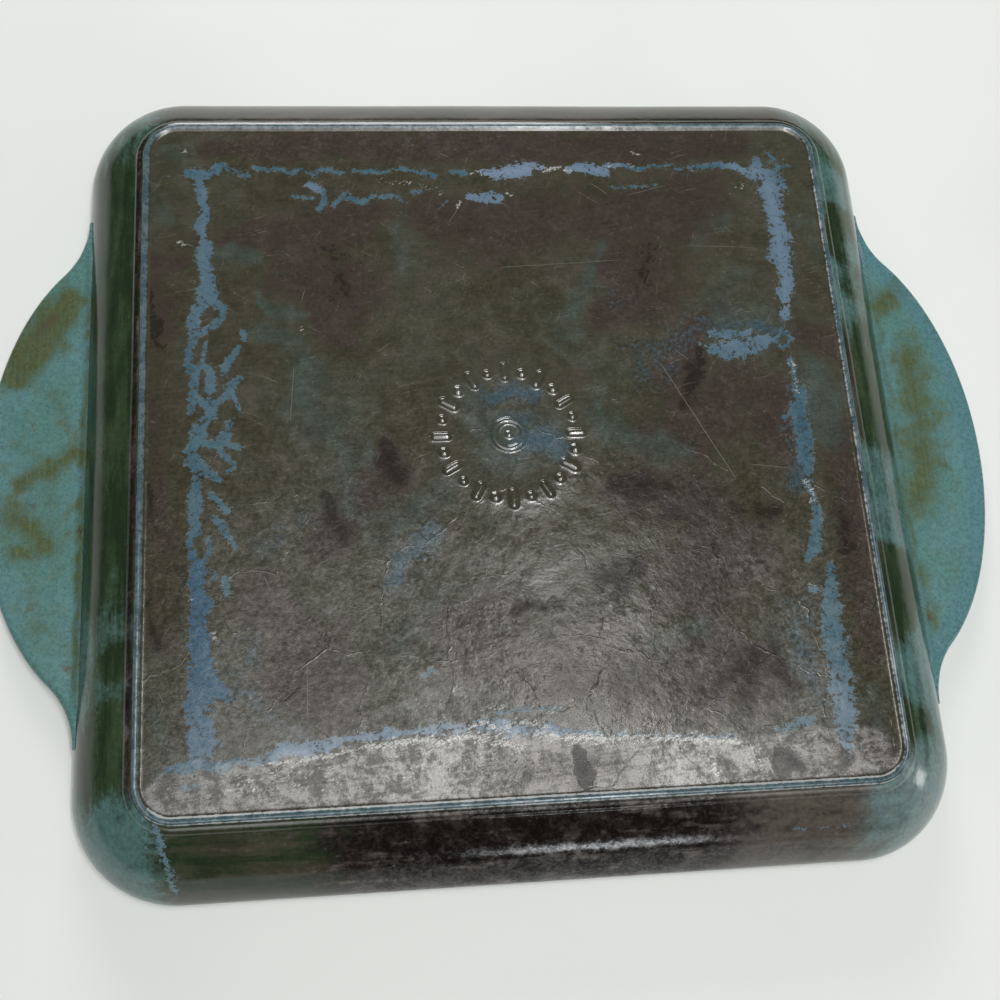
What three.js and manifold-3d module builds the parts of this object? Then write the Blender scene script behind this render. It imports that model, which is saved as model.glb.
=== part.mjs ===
// A square cast iron grill pan with two half-moon tab handles, lying upside down on its rim.
//
// Millimetres, +Z up. The plane Z = 0 is the surface that the rim lies on, the origin is the middle of the
// pan, X runs from one handle to the other. In use the pan is turned over: its flat base is then below
// and the well with its ribs faces up.
//
// The pan is one casting. It is divided here into the regions a foundry drawing names: the floor plate, a
// straight wall run on each side, a wall corner at each corner, the two handles and the ribs of the
// cooking surface. The regions meet in flat planes that lie along X, Y or Z.
import * as THREE from "three";
import { mergeVertices } from "three/addons/utils/BufferGeometryUtils.js";
import Module from "manifold-3d";

// ---- driving dimensions, mm ----
const HEIGHT = 25; // rim plane to the contact face of the base
const CORNER_AXIS = 93; // x and y of the vertical axis that each corner is turned about
const RIM_HALF = 122.5; // centre to the outer face of the rim
const BEAD_FOOT = 101.4; // centre to the inner foot of the bead round the base
const BASE_HALF = 103.8; // centre to the outer edge of that bead
const FLOOR_Z = 20.4; // height of the cooking surface between the ribs
const CONTACT_OUT = 89; // the contact face is a square band from CONTACT_IN to CONTACT_OUT
const CONTACT_IN = 81;
const FIELD_HALF = 73; // half side of the flat field inside the band
const FIELD_DROP = 0.7; // how far that field lies below the contact face
const MARGIN_SLOPE = Math.tan((4 * Math.PI) / 180); // fall of the margin between the band and the bead
const CORNER_SEGMENTS = 40; // facets in a full turn of a corner

const HANDLE_SPLIT = 121; // plane where a handle leaves the wall
const HANDLE_SPLIT_HALF = 81; // half length of that plane
const HANDLE_CENTRE = 108; // the outline is an ellipse about this x
const HANDLE_REACH = 42.5; // its semi-axis outwards, so the handle ends at x = 150.5
const HANDLE_HALF = 73; // its semi-axis along the wall
const HANDLE_HOLLOW = 25; // radius of the hollow curve that runs the outline into the wall
const HANDLE_ROOT_Z = 7.2; // height of the handle's upper face at the wall
const HANDLE_TIP_Z = 5.0; // and at its outer edge
const HANDLE_EDGE = 1.5; // rounding of the handle's edge

const RIB_COUNT = 15;
const RIB_PITCH = 11.6;
const RIB_HALF_LENGTH = 86;
const RIB_FOOT = 4.4; // width at the cooking surface
const RIB_TIP = 3.2; // width at the tip
const RIB_HEIGHT = 3.4;

const RING_RADIUS = 19.5; // ring of cast marks in the middle of the base
const RING_MARKS = 24;
const MARK_HEIGHT = 0.6;
const MARK_FOOT = 0.4; // how far a mark's foot runs into the plate
const SMALL_RING = 4.3; // radius of the small ring in the middle

// Outer face of the wall, from the contact band to the rim: [distance outwards from the edge of the base, height]
const marginZ = (u) => HEIGHT - (u - CONTACT_OUT) * MARGIN_SLOPE;
const OUTER = [
  [CORNER_AXIS, marginZ(CORNER_AXIS)],
  [BEAD_FOOT, marginZ(BEAD_FOOT)],
  [102.0, 24.45],
  [102.7, 24.7],
  [103.4, 24.6],
  [BASE_HALF, 24.25],
  [103.95, 23.5],
  [104.3, 23.25],
  [105.5, 22.85],
  [106.2, 22.2],
  [107.0, 21.7],
  [108.5, 20.9],
  [110.5, 19.75],
  [112.5, 18.45],
  [114.2, 17.2],
  [116.0, 15.65],
  [117.6, 13.9],
  [119.0, 12.0],
  [120.2, 9.9],
  [121.2, 7.7],
  [121.9, 5.7],
  [122.35, 4.0],
  [RIM_HALF, 2.6],
  [122.35, 1.3],
  [121.9, 0.5],
  [121.2, 0],
];
// Inner face, from the rim back up to the cooking surface
const INNER = [
  [117.8, 0],
  [117.2, 0.7],
  [117.2, 4.4],
  [116.5, 7.4],
  [114.4, 11.0],
  [111.55, 13.8],
  [108.3, 16.2],
  [105.2, 18.0],
  [102.0, 19.5],
  [99.0, 20.2],
  [96.4, FLOOR_Z],
  [CORNER_AXIS, FLOOR_Z],
];
const SECTION = [...OUTER, ...INNER];

// ---- materials ----
const enamel = (color, roughness) =>
  new THREE.MeshStandardMaterial({ color, roughness, metalness: 0.1 });
const baseEnamel = enamel(0x35302a, 0.38);
const wallEnamel = enamel(0x2a3a22, 0.3);
const handleEnamel = enamel(0x4b8580, 0.35);
const insideEnamel = enamel(0x1d1c1b, 0.62);

// ---- solids ----
const wasm = await Module();
wasm.setup();

function solid(geometry) {
  const g = geometry.clone();
  g.deleteAttribute("normal");
  g.deleteAttribute("uv");
  const m = mergeVertices(g, 1e-4);
  const tri = [];
  const src = m.index.array;
  for (let i = 0; i < src.length; i += 3) {
    const [a, b, c] = [src[i], src[i + 1], src[i + 2]];
    if (a !== b && b !== c && a !== c) tri.push(a, b, c);
  }
  return new wasm.Manifold(
    new wasm.Mesh({
      numProp: 3,
      vertProperties: m.attributes.position.array,
      triVerts: new Uint32Array(tri),
    }),
  );
}

function geometryOf(manifold) {
  const m = manifold.getMesh();
  const g = new THREE.BufferGeometry();
  const position = new Float32Array((m.vertProperties.length / m.numProp) * 3);
  for (let i = 0; i < position.length / 3; i++)
    for (let k = 0; k < 3; k++)
      position[3 * i + k] = m.vertProperties[m.numProp * i + k];
  g.setAttribute("position", new THREE.BufferAttribute(position, 3));
  g.setIndex(new THREE.BufferAttribute(new Uint32Array(m.triVerts), 1));
  const flat = g.toNonIndexed();
  flat.computeVertexNormals();
  return flat;
}

function box(x0, y0, z0, x1, y1, z1) {
  const g = new THREE.BoxGeometry(x1 - x0, y1 - y0, z1 - z0);
  g.translate((x0 + x1) / 2, (y0 + y1) / 2, (z0 + z1) / 2);
  return g;
}

// A closed outline in the X-Z plane, drawn out along Y from -half to half.
function alongY(outline, half) {
  const shape = new THREE.Shape(outline.map(([x, z]) => new THREE.Vector2(x, z)));
  const g = new THREE.ExtrudeGeometry(shape, {
    depth: 2 * half,
    bevelEnabled: false,
    steps: 1,
  });
  g.translate(0, 0, -half);
  g.rotateX(Math.PI / 2); // the outline's second axis turns to +Z, and the depth to -Y
  return g;
}

// A stack of level outlines with the same number of points, closed by a flat cap at each end.
function stack(levels) {
  const n = levels[0].length;
  const position = levels.flat(2);
  const index = [];
  for (let l = 0; l + 1 < levels.length; l++)
    for (let i = 0; i < n; i++) {
      const a = l * n + i;
      const b = l * n + ((i + 1) % n);
      index.push(a, b, b + n, a, b + n, a + n);
    }
  const cap = (l, up) => {
    const flat = levels[l].map(([x, y]) => new THREE.Vector2(x, y));
    for (const [a, b, c] of THREE.ShapeUtils.triangulateShape(flat, [])) {
      const ccw = THREE.ShapeUtils.area([flat[a], flat[b], flat[c]]) > 0;
      const t = ccw === up ? [a, b, c] : [a, c, b];
      index.push(...t.map((k) => k + l * n));
    }
  };
  cap(0, false);
  cap(levels.length - 1, true);
  const g = new THREE.BufferGeometry();
  g.setAttribute("position", new THREE.Float32BufferAttribute(position, 3));
  g.setIndex(index);
  return g;
}

const square = (h, z) => [
  [-h, -h, z],
  [h, -h, z],
  [h, h, z],
  [-h, h, z],
];

// ---- floor plate: contact band, sunk field and the cast marks in the middle ----
const fieldZ = HEIGHT - FIELD_DROP;
let plate = solid(
  stack([
    square(CORNER_AXIS, FLOOR_Z),
    square(CORNER_AXIS, marginZ(CORNER_AXIS)),
    square(CONTACT_OUT, HEIGHT),
    square(CONTACT_IN, HEIGHT),
    square(FIELD_HALF, fieldZ),
  ]),
);
// A ring of short radial bars and dots, round a small ring with a dot in it. Their feet run into the plate.
const markLength = MARK_HEIGHT + MARK_FOOT;
const markMiddle = fieldZ + (MARK_HEIGHT - MARK_FOOT) / 2;
for (let i = 0; i < RING_MARKS; i++) {
  const bar = i % 2 === 0;
  const mark = new THREE.CylinderGeometry(bar ? 0.7 : 0.9, bar ? 1.1 : 1.3, markLength, 8);
  mark.rotateX(Math.PI / 2);
  if (bar) mark.scale(2.1, 1, 1);
  mark.translate(RING_RADIUS, 0, markMiddle);
  mark.rotateZ((i / RING_MARKS) * 2 * Math.PI);
  plate = plate.add(solid(mark));
}
const dot = new THREE.CylinderGeometry(0.7, 1.2, markLength, 8);
dot.rotateX(Math.PI / 2);
dot.translate(0, 0, markMiddle);
const smallRing = new THREE.LatheGeometry(
  [
    [SMALL_RING + 1.0, -MARK_FOOT],
    [SMALL_RING + 0.4, MARK_HEIGHT],
    [SMALL_RING - 0.4, MARK_HEIGHT],
    [SMALL_RING - 1.0, -MARK_FOOT],
    [SMALL_RING + 1.0, -MARK_FOOT],
  ].map(([r, z]) => new THREE.Vector2(r, z)),
  24,
);
smallRing.rotateX(Math.PI / 2);
smallRing.translate(0, 0, fieldZ);
plate = plate.add(solid(dot)).add(solid(smallRing));

// ---- wall runs ----
const runSolid = solid(alongY(SECTION, CORNER_AXIS));
const handleZone = solid(
  box(HANDLE_SPLIT, -HANDLE_SPLIT_HALF, -5, 130, HANDLE_SPLIT_HALF, 30),
);
const plainRun = geometryOf(runSolid);
const handleRun = geometryOf(runSolid.subtract(handleZone));

// ---- wall corner, turned about its own axis ----
const turned = new THREE.LatheGeometry(
  [
    new THREE.Vector2(0, FLOOR_Z),
    ...[...INNER.slice(0, -1)]
      .reverse()
      .map(([u, z]) => new THREE.Vector2(u - CORNER_AXIS, z)),
    ...[...OUTER.slice(1)]
      .reverse()
      .map(([u, z]) => new THREE.Vector2(u - CORNER_AXIS, z)),
    new THREE.Vector2(0, OUTER[0][1]),
  ],
  CORNER_SEGMENTS,
);
turned.rotateX(Math.PI / 2);
const cornerSolid = solid(turned).intersect(solid(box(0, 0, -5, 40, 40, 30)));
const corner = geometryOf(cornerSolid);

// ---- handle ----
// The outline is an ellipse that a hollow arc runs into the wall. The arc touches the wall's plane at hollowY.
const ellipseX = (y) =>
  HANDLE_CENTRE + HANDLE_REACH * Math.sqrt(Math.max(1 - (y / HANDLE_HALF) ** 2, 0));
const hollowX = RIM_HALF + HANDLE_HOLLOW;
function clearance(hollowY) {
  let least = Infinity;
  for (let t = 0; t <= 2000; t++) {
    const a = (t / 2000) * (Math.PI / 2);
    const dx = HANDLE_CENTRE + HANDLE_REACH * Math.cos(a) - hollowX;
    const dy = HANDLE_HALF * Math.sin(a) - hollowY;
    least = Math.min(least, Math.hypot(dx, dy));
  }
  return least - HANDLE_HOLLOW;
}
let [low, high] = [60, 120];
for (let k = 0; k < 50; k++) {
  const middle = (low + high) / 2;
  if (clearance(middle) > 0) high = middle;
  else low = middle;
}
const hollowY = (low + high) / 2;
function reach(y) {
  const d = hollowY - Math.abs(y);
  if (d <= 0) return RIM_HALF;
  const arc =
    d < HANDLE_HOLLOW
      ? hollowX - Math.sqrt(HANDLE_HOLLOW ** 2 - d ** 2)
      : Infinity;
  return Math.abs(y) < HANDLE_HALF * 0.9 && ellipseX(y) < arc ? ellipseX(y) : arc;
}
const topZ = (x) =>
  HANDLE_ROOT_Z -
  ((x - RIM_HALF) * (HANDLE_ROOT_Z - HANDLE_TIP_Z)) / (HANDLE_CENTRE + HANDLE_REACH - RIM_HALF);
const outlineY = [];
for (let y = -HANDLE_SPLIT_HALF; y <= HANDLE_SPLIT_HALF; y += 3) outlineY.push(y);
const handleLevel = (z, inset) => [
  [HANDLE_SPLIT, HANDLE_SPLIT_HALF, z(HANDLE_SPLIT)],
  [HANDLE_SPLIT, -HANDLE_SPLIT_HALF, z(HANDLE_SPLIT)],
  ...outlineY.map((y) => {
    const x = Math.max(reach(y) - inset, HANDLE_SPLIT + 0.6);
    return [x, y, z(x)];
  }),
];
const tab = solid(
  stack([
    handleLevel(() => 0, HANDLE_EDGE),
    handleLevel(() => 0.45, 0.45),
    handleLevel(() => HANDLE_EDGE, 0),
    handleLevel((x) => topZ(x) - HANDLE_EDGE, 0),
    handleLevel((x) => topZ(x) - 0.45, 0.45),
    handleLevel(topZ, HANDLE_EDGE),
  ]),
);
const fillet = solid(
  alongY(
    [
      [HANDLE_SPLIT, 1],
      [125.2, 1],
      [125.2, topZ(125.2)],
      [123.4, topZ(123.4) + 0.1],
      [122.0, topZ(122.0) + 0.45],
      [HANDLE_SPLIT, 8.3],
    ],
    64,
  ),
);
const handle = geometryOf(
  runSolid.intersect(handleZone).add(tab).add(fillet),
);

// ---- rib ----
const ribZ = FLOOR_Z - RIB_HEIGHT;
const ribLevel = (half, length, z) => [
  [-half, -length, z],
  [half, -length, z],
  [half, length, z],
  [-half, length, z],
];
const rib = stack([
  ribLevel(RIB_TIP / 2 - 0.5, RIB_HALF_LENGTH - 4.5, ribZ),
  ribLevel(RIB_TIP / 2, RIB_HALF_LENGTH - 3.5, ribZ + 0.5),
  ribLevel(RIB_FOOT / 2, RIB_HALF_LENGTH, FLOOR_Z),
]);

// ---- the pan ----
const pan = new THREE.Group();
function piece(name, geometry, material, turn = 0, x = 0, y = 0) {
  const mesh = new THREE.Mesh(geometry, material);
  mesh.name = name;
  mesh.rotation.z = turn;
  mesh.position.set(x, y, 0);
  pan.add(mesh);
  return mesh;
}

// Quarter turns written out, so that the planes where regions meet stay exact.
function quarterTurned(geometry, quarters) {
  const g = geometry.clone();
  const p = g.attributes.position.array;
  for (let k = 0; k < quarters; k++)
    for (let i = 0; i < p.length; i += 3) {
      const x = p[i];
      p[i] = -p[i + 1];
      p[i + 1] = x;
    }
  g.computeVertexNormals();
  return g;
}

piece("base_plate", geometryOf(plate), baseEnamel);
piece("wall_right", handleRun, wallEnamel);
piece("wall_back", quarterTurned(plainRun, 1), wallEnamel);
piece("wall_left", quarterTurned(handleRun, 2), wallEnamel);
piece("wall_front", quarterTurned(plainRun, 3), wallEnamel);
["corner_back_right", "corner_back_left", "corner_front_left", "corner_front_right"].forEach(
  (name, k) => {
    const sx = k === 0 || k === 3 ? 1 : -1;
    const sy = k < 2 ? 1 : -1;
    piece(name, quarterTurned(corner, k), wallEnamel, 0, sx * CORNER_AXIS, sy * CORNER_AXIS);
  },
);
piece("handle_right", handle, handleEnamel);
piece("handle_left", quarterTurned(handle, 2), handleEnamel);
for (let i = 0; i < RIB_COUNT; i++) {
  const x = (i - (RIB_COUNT - 1) / 2) * RIB_PITCH;
  piece("rib_" + String(i + 1).padStart(2, "0"), rib, insideEnamel, 0, x, 0);
}

export default pan;
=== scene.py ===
# A square enamelled cast iron grill pan, lying base up on its rim on a pale table.
#
# Lengths below are in millimetres until the very last step, which writes metres. +X runs from the left handle to
# the right one, +Y away from the viewer, +Z up out of the flat base, and Z = 0 is the table.
import math

import bpy
import numpy as np
from mathutils import Matrix, Vector


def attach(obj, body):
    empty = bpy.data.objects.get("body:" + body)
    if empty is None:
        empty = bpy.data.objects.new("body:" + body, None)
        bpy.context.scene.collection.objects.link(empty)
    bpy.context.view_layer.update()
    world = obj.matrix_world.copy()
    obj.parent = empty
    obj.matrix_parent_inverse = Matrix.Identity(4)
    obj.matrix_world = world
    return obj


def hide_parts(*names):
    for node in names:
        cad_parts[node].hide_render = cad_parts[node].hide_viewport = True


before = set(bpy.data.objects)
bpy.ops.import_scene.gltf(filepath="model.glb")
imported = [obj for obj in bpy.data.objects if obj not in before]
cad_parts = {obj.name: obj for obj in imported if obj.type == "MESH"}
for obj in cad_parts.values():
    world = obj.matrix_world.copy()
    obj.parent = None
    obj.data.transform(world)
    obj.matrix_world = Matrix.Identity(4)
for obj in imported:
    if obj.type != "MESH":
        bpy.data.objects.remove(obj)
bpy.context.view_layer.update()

MM = 0.001
scene = bpy.context.scene
scene.view_settings.view_transform = "Standard"

# ------------------------------------------------------------------ camera
EYE = np.array([-46.36, -137.27, 374.61])
RIGHT = np.array([0.992915, -0.067861, 0.097542])
UP = np.array([0.033073, 0.946273, 0.321674])
AHEAD = np.array([0.114131, 0.316169, -0.941813])
FOCAL = 1323.4  # in pixels of the 1000 x 1000 frame

lens = bpy.data.cameras.new("camera")
lens.sensor_width = 36.0
lens.lens = FOCAL / 1000 * 36.0
lens.clip_start, lens.clip_end = 0.01, 60.0
camera = bpy.data.objects.new("camera", lens)
scene.collection.objects.link(camera)
turn = Matrix([[RIGHT[i], UP[i], -AHEAD[i]] for i in range(3)]).to_4x4()
camera.matrix_world = Matrix.Translation(Vector(EYE * MM)) @ turn
scene.camera = camera


def on(points, z=25.0):
    """Places on the level plane at height z under points of the frame, in mm."""
    uv = np.atleast_2d(np.asarray(points, float))
    ray = AHEAD + np.outer((uv[:, 0] - 500) / FOCAL, RIGHT) - np.outer((uv[:, 1] - 500) / FOCAL, UP)
    t = (z - EYE[2]) / ray[:, 2]
    return (EYE + ray * t[:, None])[:, :2]


# ------------------------------------------------------------------ numbers
CORNER_AXIS = 93.0
FLOOR_Z = 20.4
SLOPE = math.tan(math.radians(4))
FIELD_Z = 24.3
RING_RADIUS = 19.5
MARKS = 24


def step(x, lo, hi):
    t = np.clip((np.asarray(x, float) - lo) / (hi - lo), 0, 1)
    return t * t * (3 - 2 * t)


_grids = {}


def speck(x, y, cell, seed):
    """Smooth random field from 0 to 1 with features about cell mm across."""
    if seed not in _grids:
        _grids[seed] = np.random.default_rng(seed).random((97, 97))
    g = _grids[seed]
    a, b = np.asarray(x) / cell + 400.37, np.asarray(y) / cell + 400.71
    i, j = np.floor(a).astype(int), np.floor(b).astype(int)
    f, h = a - i, b - j
    f, h = f * f * (3 - 2 * f), h * h * (3 - 2 * h)
    i, j = i % 97, j % 97
    k, l = (i + 1) % 97, (j + 1) % 97
    return (g[i, j] * (1 - f) + g[k, j] * f) * (1 - h) + (g[i, l] * (1 - f) + g[k, l] * f) * h


def cloud(x, y, cell, seed, octaves=3):
    total, weight, share = 0.0, 0.0, 1.0
    for k in range(octaves):
        c, s = math.cos(0.9 * k + seed), math.sin(0.9 * k + seed)
        total = total + share * speck(c * x - s * y, s * x + c * y, cell / 2**k, seed * 31 + k)
        weight += share
        share *= 0.55
    return total / weight


def waves(p):
    """Slow unevenness of the cast and enamelled surface, in mm, at any place."""
    x, y, z = p[..., 0], p[..., 1], p[..., 2]
    return (
        0.018 * np.sin(x / 6.3 + 0.8 * np.sin(y / 11.0) + z / 3.1)
        + 0.016 * np.sin(y / 5.7 + 1.1 * np.sin(x / 13.0) - z / 4.3)
        + 0.030 * np.sin((x + 0.6 * y) / 14.3 + 1.7 + z / 9.0)
        + 0.030 * np.sin((y - 0.7 * x) / 17.9 + 0.4)
    )


# ------------------------------------------------------------------ heights of the base
def band_u(x, y):
    """Distance from the centre measured as on a square with softened corners."""
    a, b = np.abs(x) + 1e-6, np.abs(y) + 1e-6
    m = np.maximum(a, b)
    return m * ((a / m) ** 16 + (b / m) ** 16) ** (1 / 16)


def soft_plus(x, r):
    """x where it is positive and 0 where it isn't, rounded over r."""
    return 0.5 * (x + np.sqrt(x * x + r * r))


def turned_u(x, y):
    dx, dy = np.maximum(np.abs(x) - CORNER_AXIS, 0), np.maximum(np.abs(y) - CORNER_AXIS, 0)
    inside = np.maximum(np.abs(x), np.abs(y))
    return np.where((dx > 0) | (dy > 0), CORNER_AXIS + np.hypot(dx, dy), inside)


def margin_z(u):
    return 25.0 - (u - 89.0) * SLOPE


def marks_z(x, y):
    """Raised ring of plain bars and pips, and a small ring with a pip, in the middle of the base."""
    r, a = np.hypot(x, y), np.arctan2(y, x)
    k = np.round(a / (2 * math.pi / MARKS))
    t = k * 2 * math.pi / MARKS
    along = x * np.cos(t) + y * np.sin(t) - RING_RADIUS  # outwards from the mark's middle
    across = -x * np.sin(t) + y * np.cos(t)
    bar = k.astype(int) % 2 == 0
    reach = np.where(bar, 1.75, 0.0)
    d = np.hypot(np.maximum(np.abs(along) - reach, 0), across)
    wide = np.where(bar, 1.45, 1.65) * (1 + 0.1 * np.sin(5.1 * k))
    h = soft_plus(0.66 * (1 - (d / wide) ** 2), 0.12)
    ring = soft_plus(0.5 * (1 - ((r - 4.3) / 1.15) ** 2), 0.12)
    pip = soft_plus(0.5 * (1 - (r / 1.3) ** 2), 0.12)
    swell = 0.14 * np.exp(-(((r - RING_RADIUS) / 4.6) ** 2))
    return np.where(r < 34, np.maximum(h, np.maximum(ring, pip)) + swell, 0.0)


# The outer edge of the contact band is worn inwards along the near side
NEAR_EDGE = on([(205, 768), (224, 757), (285, 752), (356, 747), (422, 736), (490, 729), (560, 733), (650, 737), (770, 738),
                (846, 750)])


def crease(x, y):
    worn_in = np.interp(x, NEAR_EDGE[:, 0], -NEAR_EDGE[:, 1], left=89.0, right=89.0)
    worn_in = np.minimum(worn_in + 1.3 * (cloud(x, y * 0, 9, 12) - 0.5) + 0.9 * (cloud(x, y * 0, 3, 13) - 0.5), 89.0)
    near = step(-y, 62, 74) * (1 - step(np.abs(x), 84, 92))
    return 89.0 - (89.0 - worn_in) * near


def base_z(x, y):
    """Height of the base inside the bead."""
    u = band_u(x, y)
    t = turned_u(x, y)
    mix = step(t, CORNER_AXIS, 100.4)
    flat = FIELD_Z + (25.0 - FIELD_Z) * step(u, 38, 82)
    c = crease(x, y)
    fall = (25.0 - margin_z(100.6)) / (100.6 - c)
    soft = flat - fall * soft_plus(u - c, 1.0)
    z = soft * (1 - mix) + margin_z(t) * mix
    p = np.stack([x, y, np.full_like(x, 25.0)], -1)
    return z + waves(p) + marks_z(x, y)


def base_normal(x, y, e=0.06):
    gx = (base_z(x + e, y) - base_z(x - e, y)) / (2 * e)
    gy = (base_z(x, y + e) - base_z(x, y - e)) / (2 * e)
    n = np.stack([-gx, -gy, np.ones_like(gx)], -1)
    return n / np.linalg.norm(n, axis=-1, keepdims=True)


# ------------------------------------------------------------------ section of the wall
OUTER = [
    (93.0, margin_z(93.0)), (95.0, margin_z(95.0)), (97.0, margin_z(97.0)), (98.6, margin_z(98.6)),
    (99.8, margin_z(99.8)), (100.6, margin_z(100.6)), (101.2, 24.17), (101.7, 24.36), (102.2, 24.62),
    (102.7, 24.82), (103.2, 24.84), (103.6, 24.62), (103.85, 24.2), (103.95, 23.7), (104.15, 23.32), (104.6, 23.22),
    (105.2, 23.06), (105.8, 22.78), (106.15, 22.2), (106.5, 21.85), (107.2, 21.62), (108.5, 20.92),
    (110.5, 19.77), (112.5, 18.45), (114.2, 17.15), (116.0, 15.62), (117.6, 13.88), (119.0, 11.95),
    (120.2, 9.85), (121.2, 7.65), (121.9, 5.7), (122.35, 4.0), (122.5, 2.6), (122.35, 1.25), (121.9, 0.4), (121.2, 0.0),
]
INNER = [
    (119.4, 0.0), (117.8, 0.0), (117.2, 0.7), (117.2, 4.4), (116.5, 7.4), (114.4, 11.0), (111.55, 13.8), (108.3, 16.2),
    (105.2, 18.0), (102.0, 19.5), (99.0, 20.2), (96.4, FLOOR_Z), (93.0, FLOOR_Z),
]


def spline(points, rounds):
    """Even cubic subdivision of an open line; its ends stay."""
    p = np.array(points, float)
    for _ in range(rounds):
        mid = (p[1:] + p[:-1]) / 2
        smooth = p.copy()
        smooth[1:-1] = p[1:-1] * 0.75 + (p[:-2] + p[2:]) * 0.125
        q = np.empty((len(p) + len(mid), p.shape[1]))
        q[0::2], q[1::2] = smooth, mid
        p = q
    return p


section = spline(OUTER + INNER, 2)
outer_rows = 4 * (len(OUTER) - 1) + 1
after, before = np.roll(section, -1, 0), np.roll(section, 1, 0)
before[0] = section[0] - (section[1] - section[0])
after[-1] = section[-1] + (section[-1] - section[-2])
run = after - before
run /= np.linalg.norm(run, axis=1, keepdims=True)
section_normal = np.stack([-run[:, 1], run[:, 0]], 1)  # points out of the iron
section_run = run

# Columns round the pan: the foot of each column on the square of the corner axes, and the way out from it
ALONG, ROUND = 248, 56
feet, outs = [], []
for k in range(4):
    c, s = [(1, 0), (0, 1), (-1, 0), (0, -1)][k]
    for j in range(ALONG):
        t = -CORNER_AXIS + 2 * CORNER_AXIS * j / ALONG
        feet.append((c * CORNER_AXIS - s * t, s * CORNER_AXIS + c * t))
        outs.append((c, s))
    axis = (c * CORNER_AXIS - s * CORNER_AXIS, s * CORNER_AXIS + c * CORNER_AXIS)
    for j in range(ROUND):
        a = (k + j / ROUND) * math.pi / 2
        feet.append(axis)
        outs.append((math.cos(a), math.sin(a)))
feet, outs = np.array(feet), np.array(outs)
columns = len(feet)

rows = len(section)
place = np.zeros((rows, columns, 3))
place[:, :, :2] = feet[None] + (section[:, 0] - CORNER_AXIS)[:, None, None] * outs[None]
place[:, :, 2] = section[:, 1][:, None]
normal = np.zeros_like(place)
normal[:, :, :2] = section_normal[:, 0][:, None, None] * outs[None]
normal[:, :, 2] = section_normal[:, 1][:, None]
along_section = np.zeros_like(place)
along_section[:, :, :2] = section_run[:, 0][:, None, None] * outs[None]
along_section[:, :, 2] = section_run[:, 1][:, None]
along_wall = np.zeros_like(place)
along_wall[:, :, 0], along_wall[:, :, 1] = -outs[None, :, 1], outs[None, :, 0]

# The outside is slightly uneven; the unevenness dies out at the rim, so that the pan stands on a plane
strength = (1 - step(np.arange(rows), outer_rows - 26, outer_rows - 8))[:, None]
e = 0.1
slope_a = (waves(place + e * along_section) - waves(place - e * along_section)) / (2 * e) * strength
slope_b = (waves(place + e * along_wall) - waves(place - e * along_wall)) / (2 * e) * strength
uneven = normal - slope_a[..., None] * along_section - slope_b[..., None] * along_wall
shifted = place + normal * (waves(place) * strength)[..., None]
in_margin = section[:, 0] < 100.55
in_margin[outer_rows:] = False
for i in np.nonzero(in_margin)[0]:
    x, y = place[i, :, 0], place[i, :, 1]
    shifted[i] = np.stack([x, y, base_z(x, y)], -1)
    uneven[i] = base_normal(x, y)
place, normal = shifted, uneven / np.linalg.norm(uneven, axis=-1, keepdims=True)


# ------------------------------------------------------------------ meshes
def make(name, points, faces, normals, slots, values, materials):
    """A mesh object from points in mm. normals holds one normal per point for smooth faces; a face whose slot is
    negative is flat. values are float layers, one number per point."""
    mesh = bpy.data.meshes.new(name)
    mesh.from_pydata((points * MM).tolist(), [], faces)
    for m in materials:
        mesh.materials.append(m)
    flat = np.array([s < 0 for s in slots])
    mesh.polygons.foreach_set("material_index", np.array([max(s, -s - 1) if s < 0 else s for s in slots], np.int32))
    mesh.polygons.foreach_set("use_smooth", np.ones(len(faces), bool))
    for key, value in values.items():
        layer = mesh.attributes.new(key, "FLOAT", "POINT")
        layer.data.foreach_set("value", np.asarray(value, np.float32))
    mesh.update()
    corner = np.empty(len(mesh.loops), np.int32)
    mesh.loops.foreach_get("vertex_index", corner)
    at = np.asarray(normals)[corner]
    count = np.array([len(f) for f in faces])
    owner = np.repeat(np.arange(len(faces)), count)
    face_normal = np.empty(len(faces) * 3, np.float32)
    mesh.polygons.foreach_get("normal", face_normal)
    face_normal = face_normal.reshape(-1, 3)
    use_flat = flat[owner]
    at = np.where(use_flat[:, None], face_normal[owner], at)
    mesh.normals_split_custom_set(at.tolist())
    piece = bpy.data.objects.new(name, mesh)
    scene.collection.objects.link(piece)
    return piece


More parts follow.
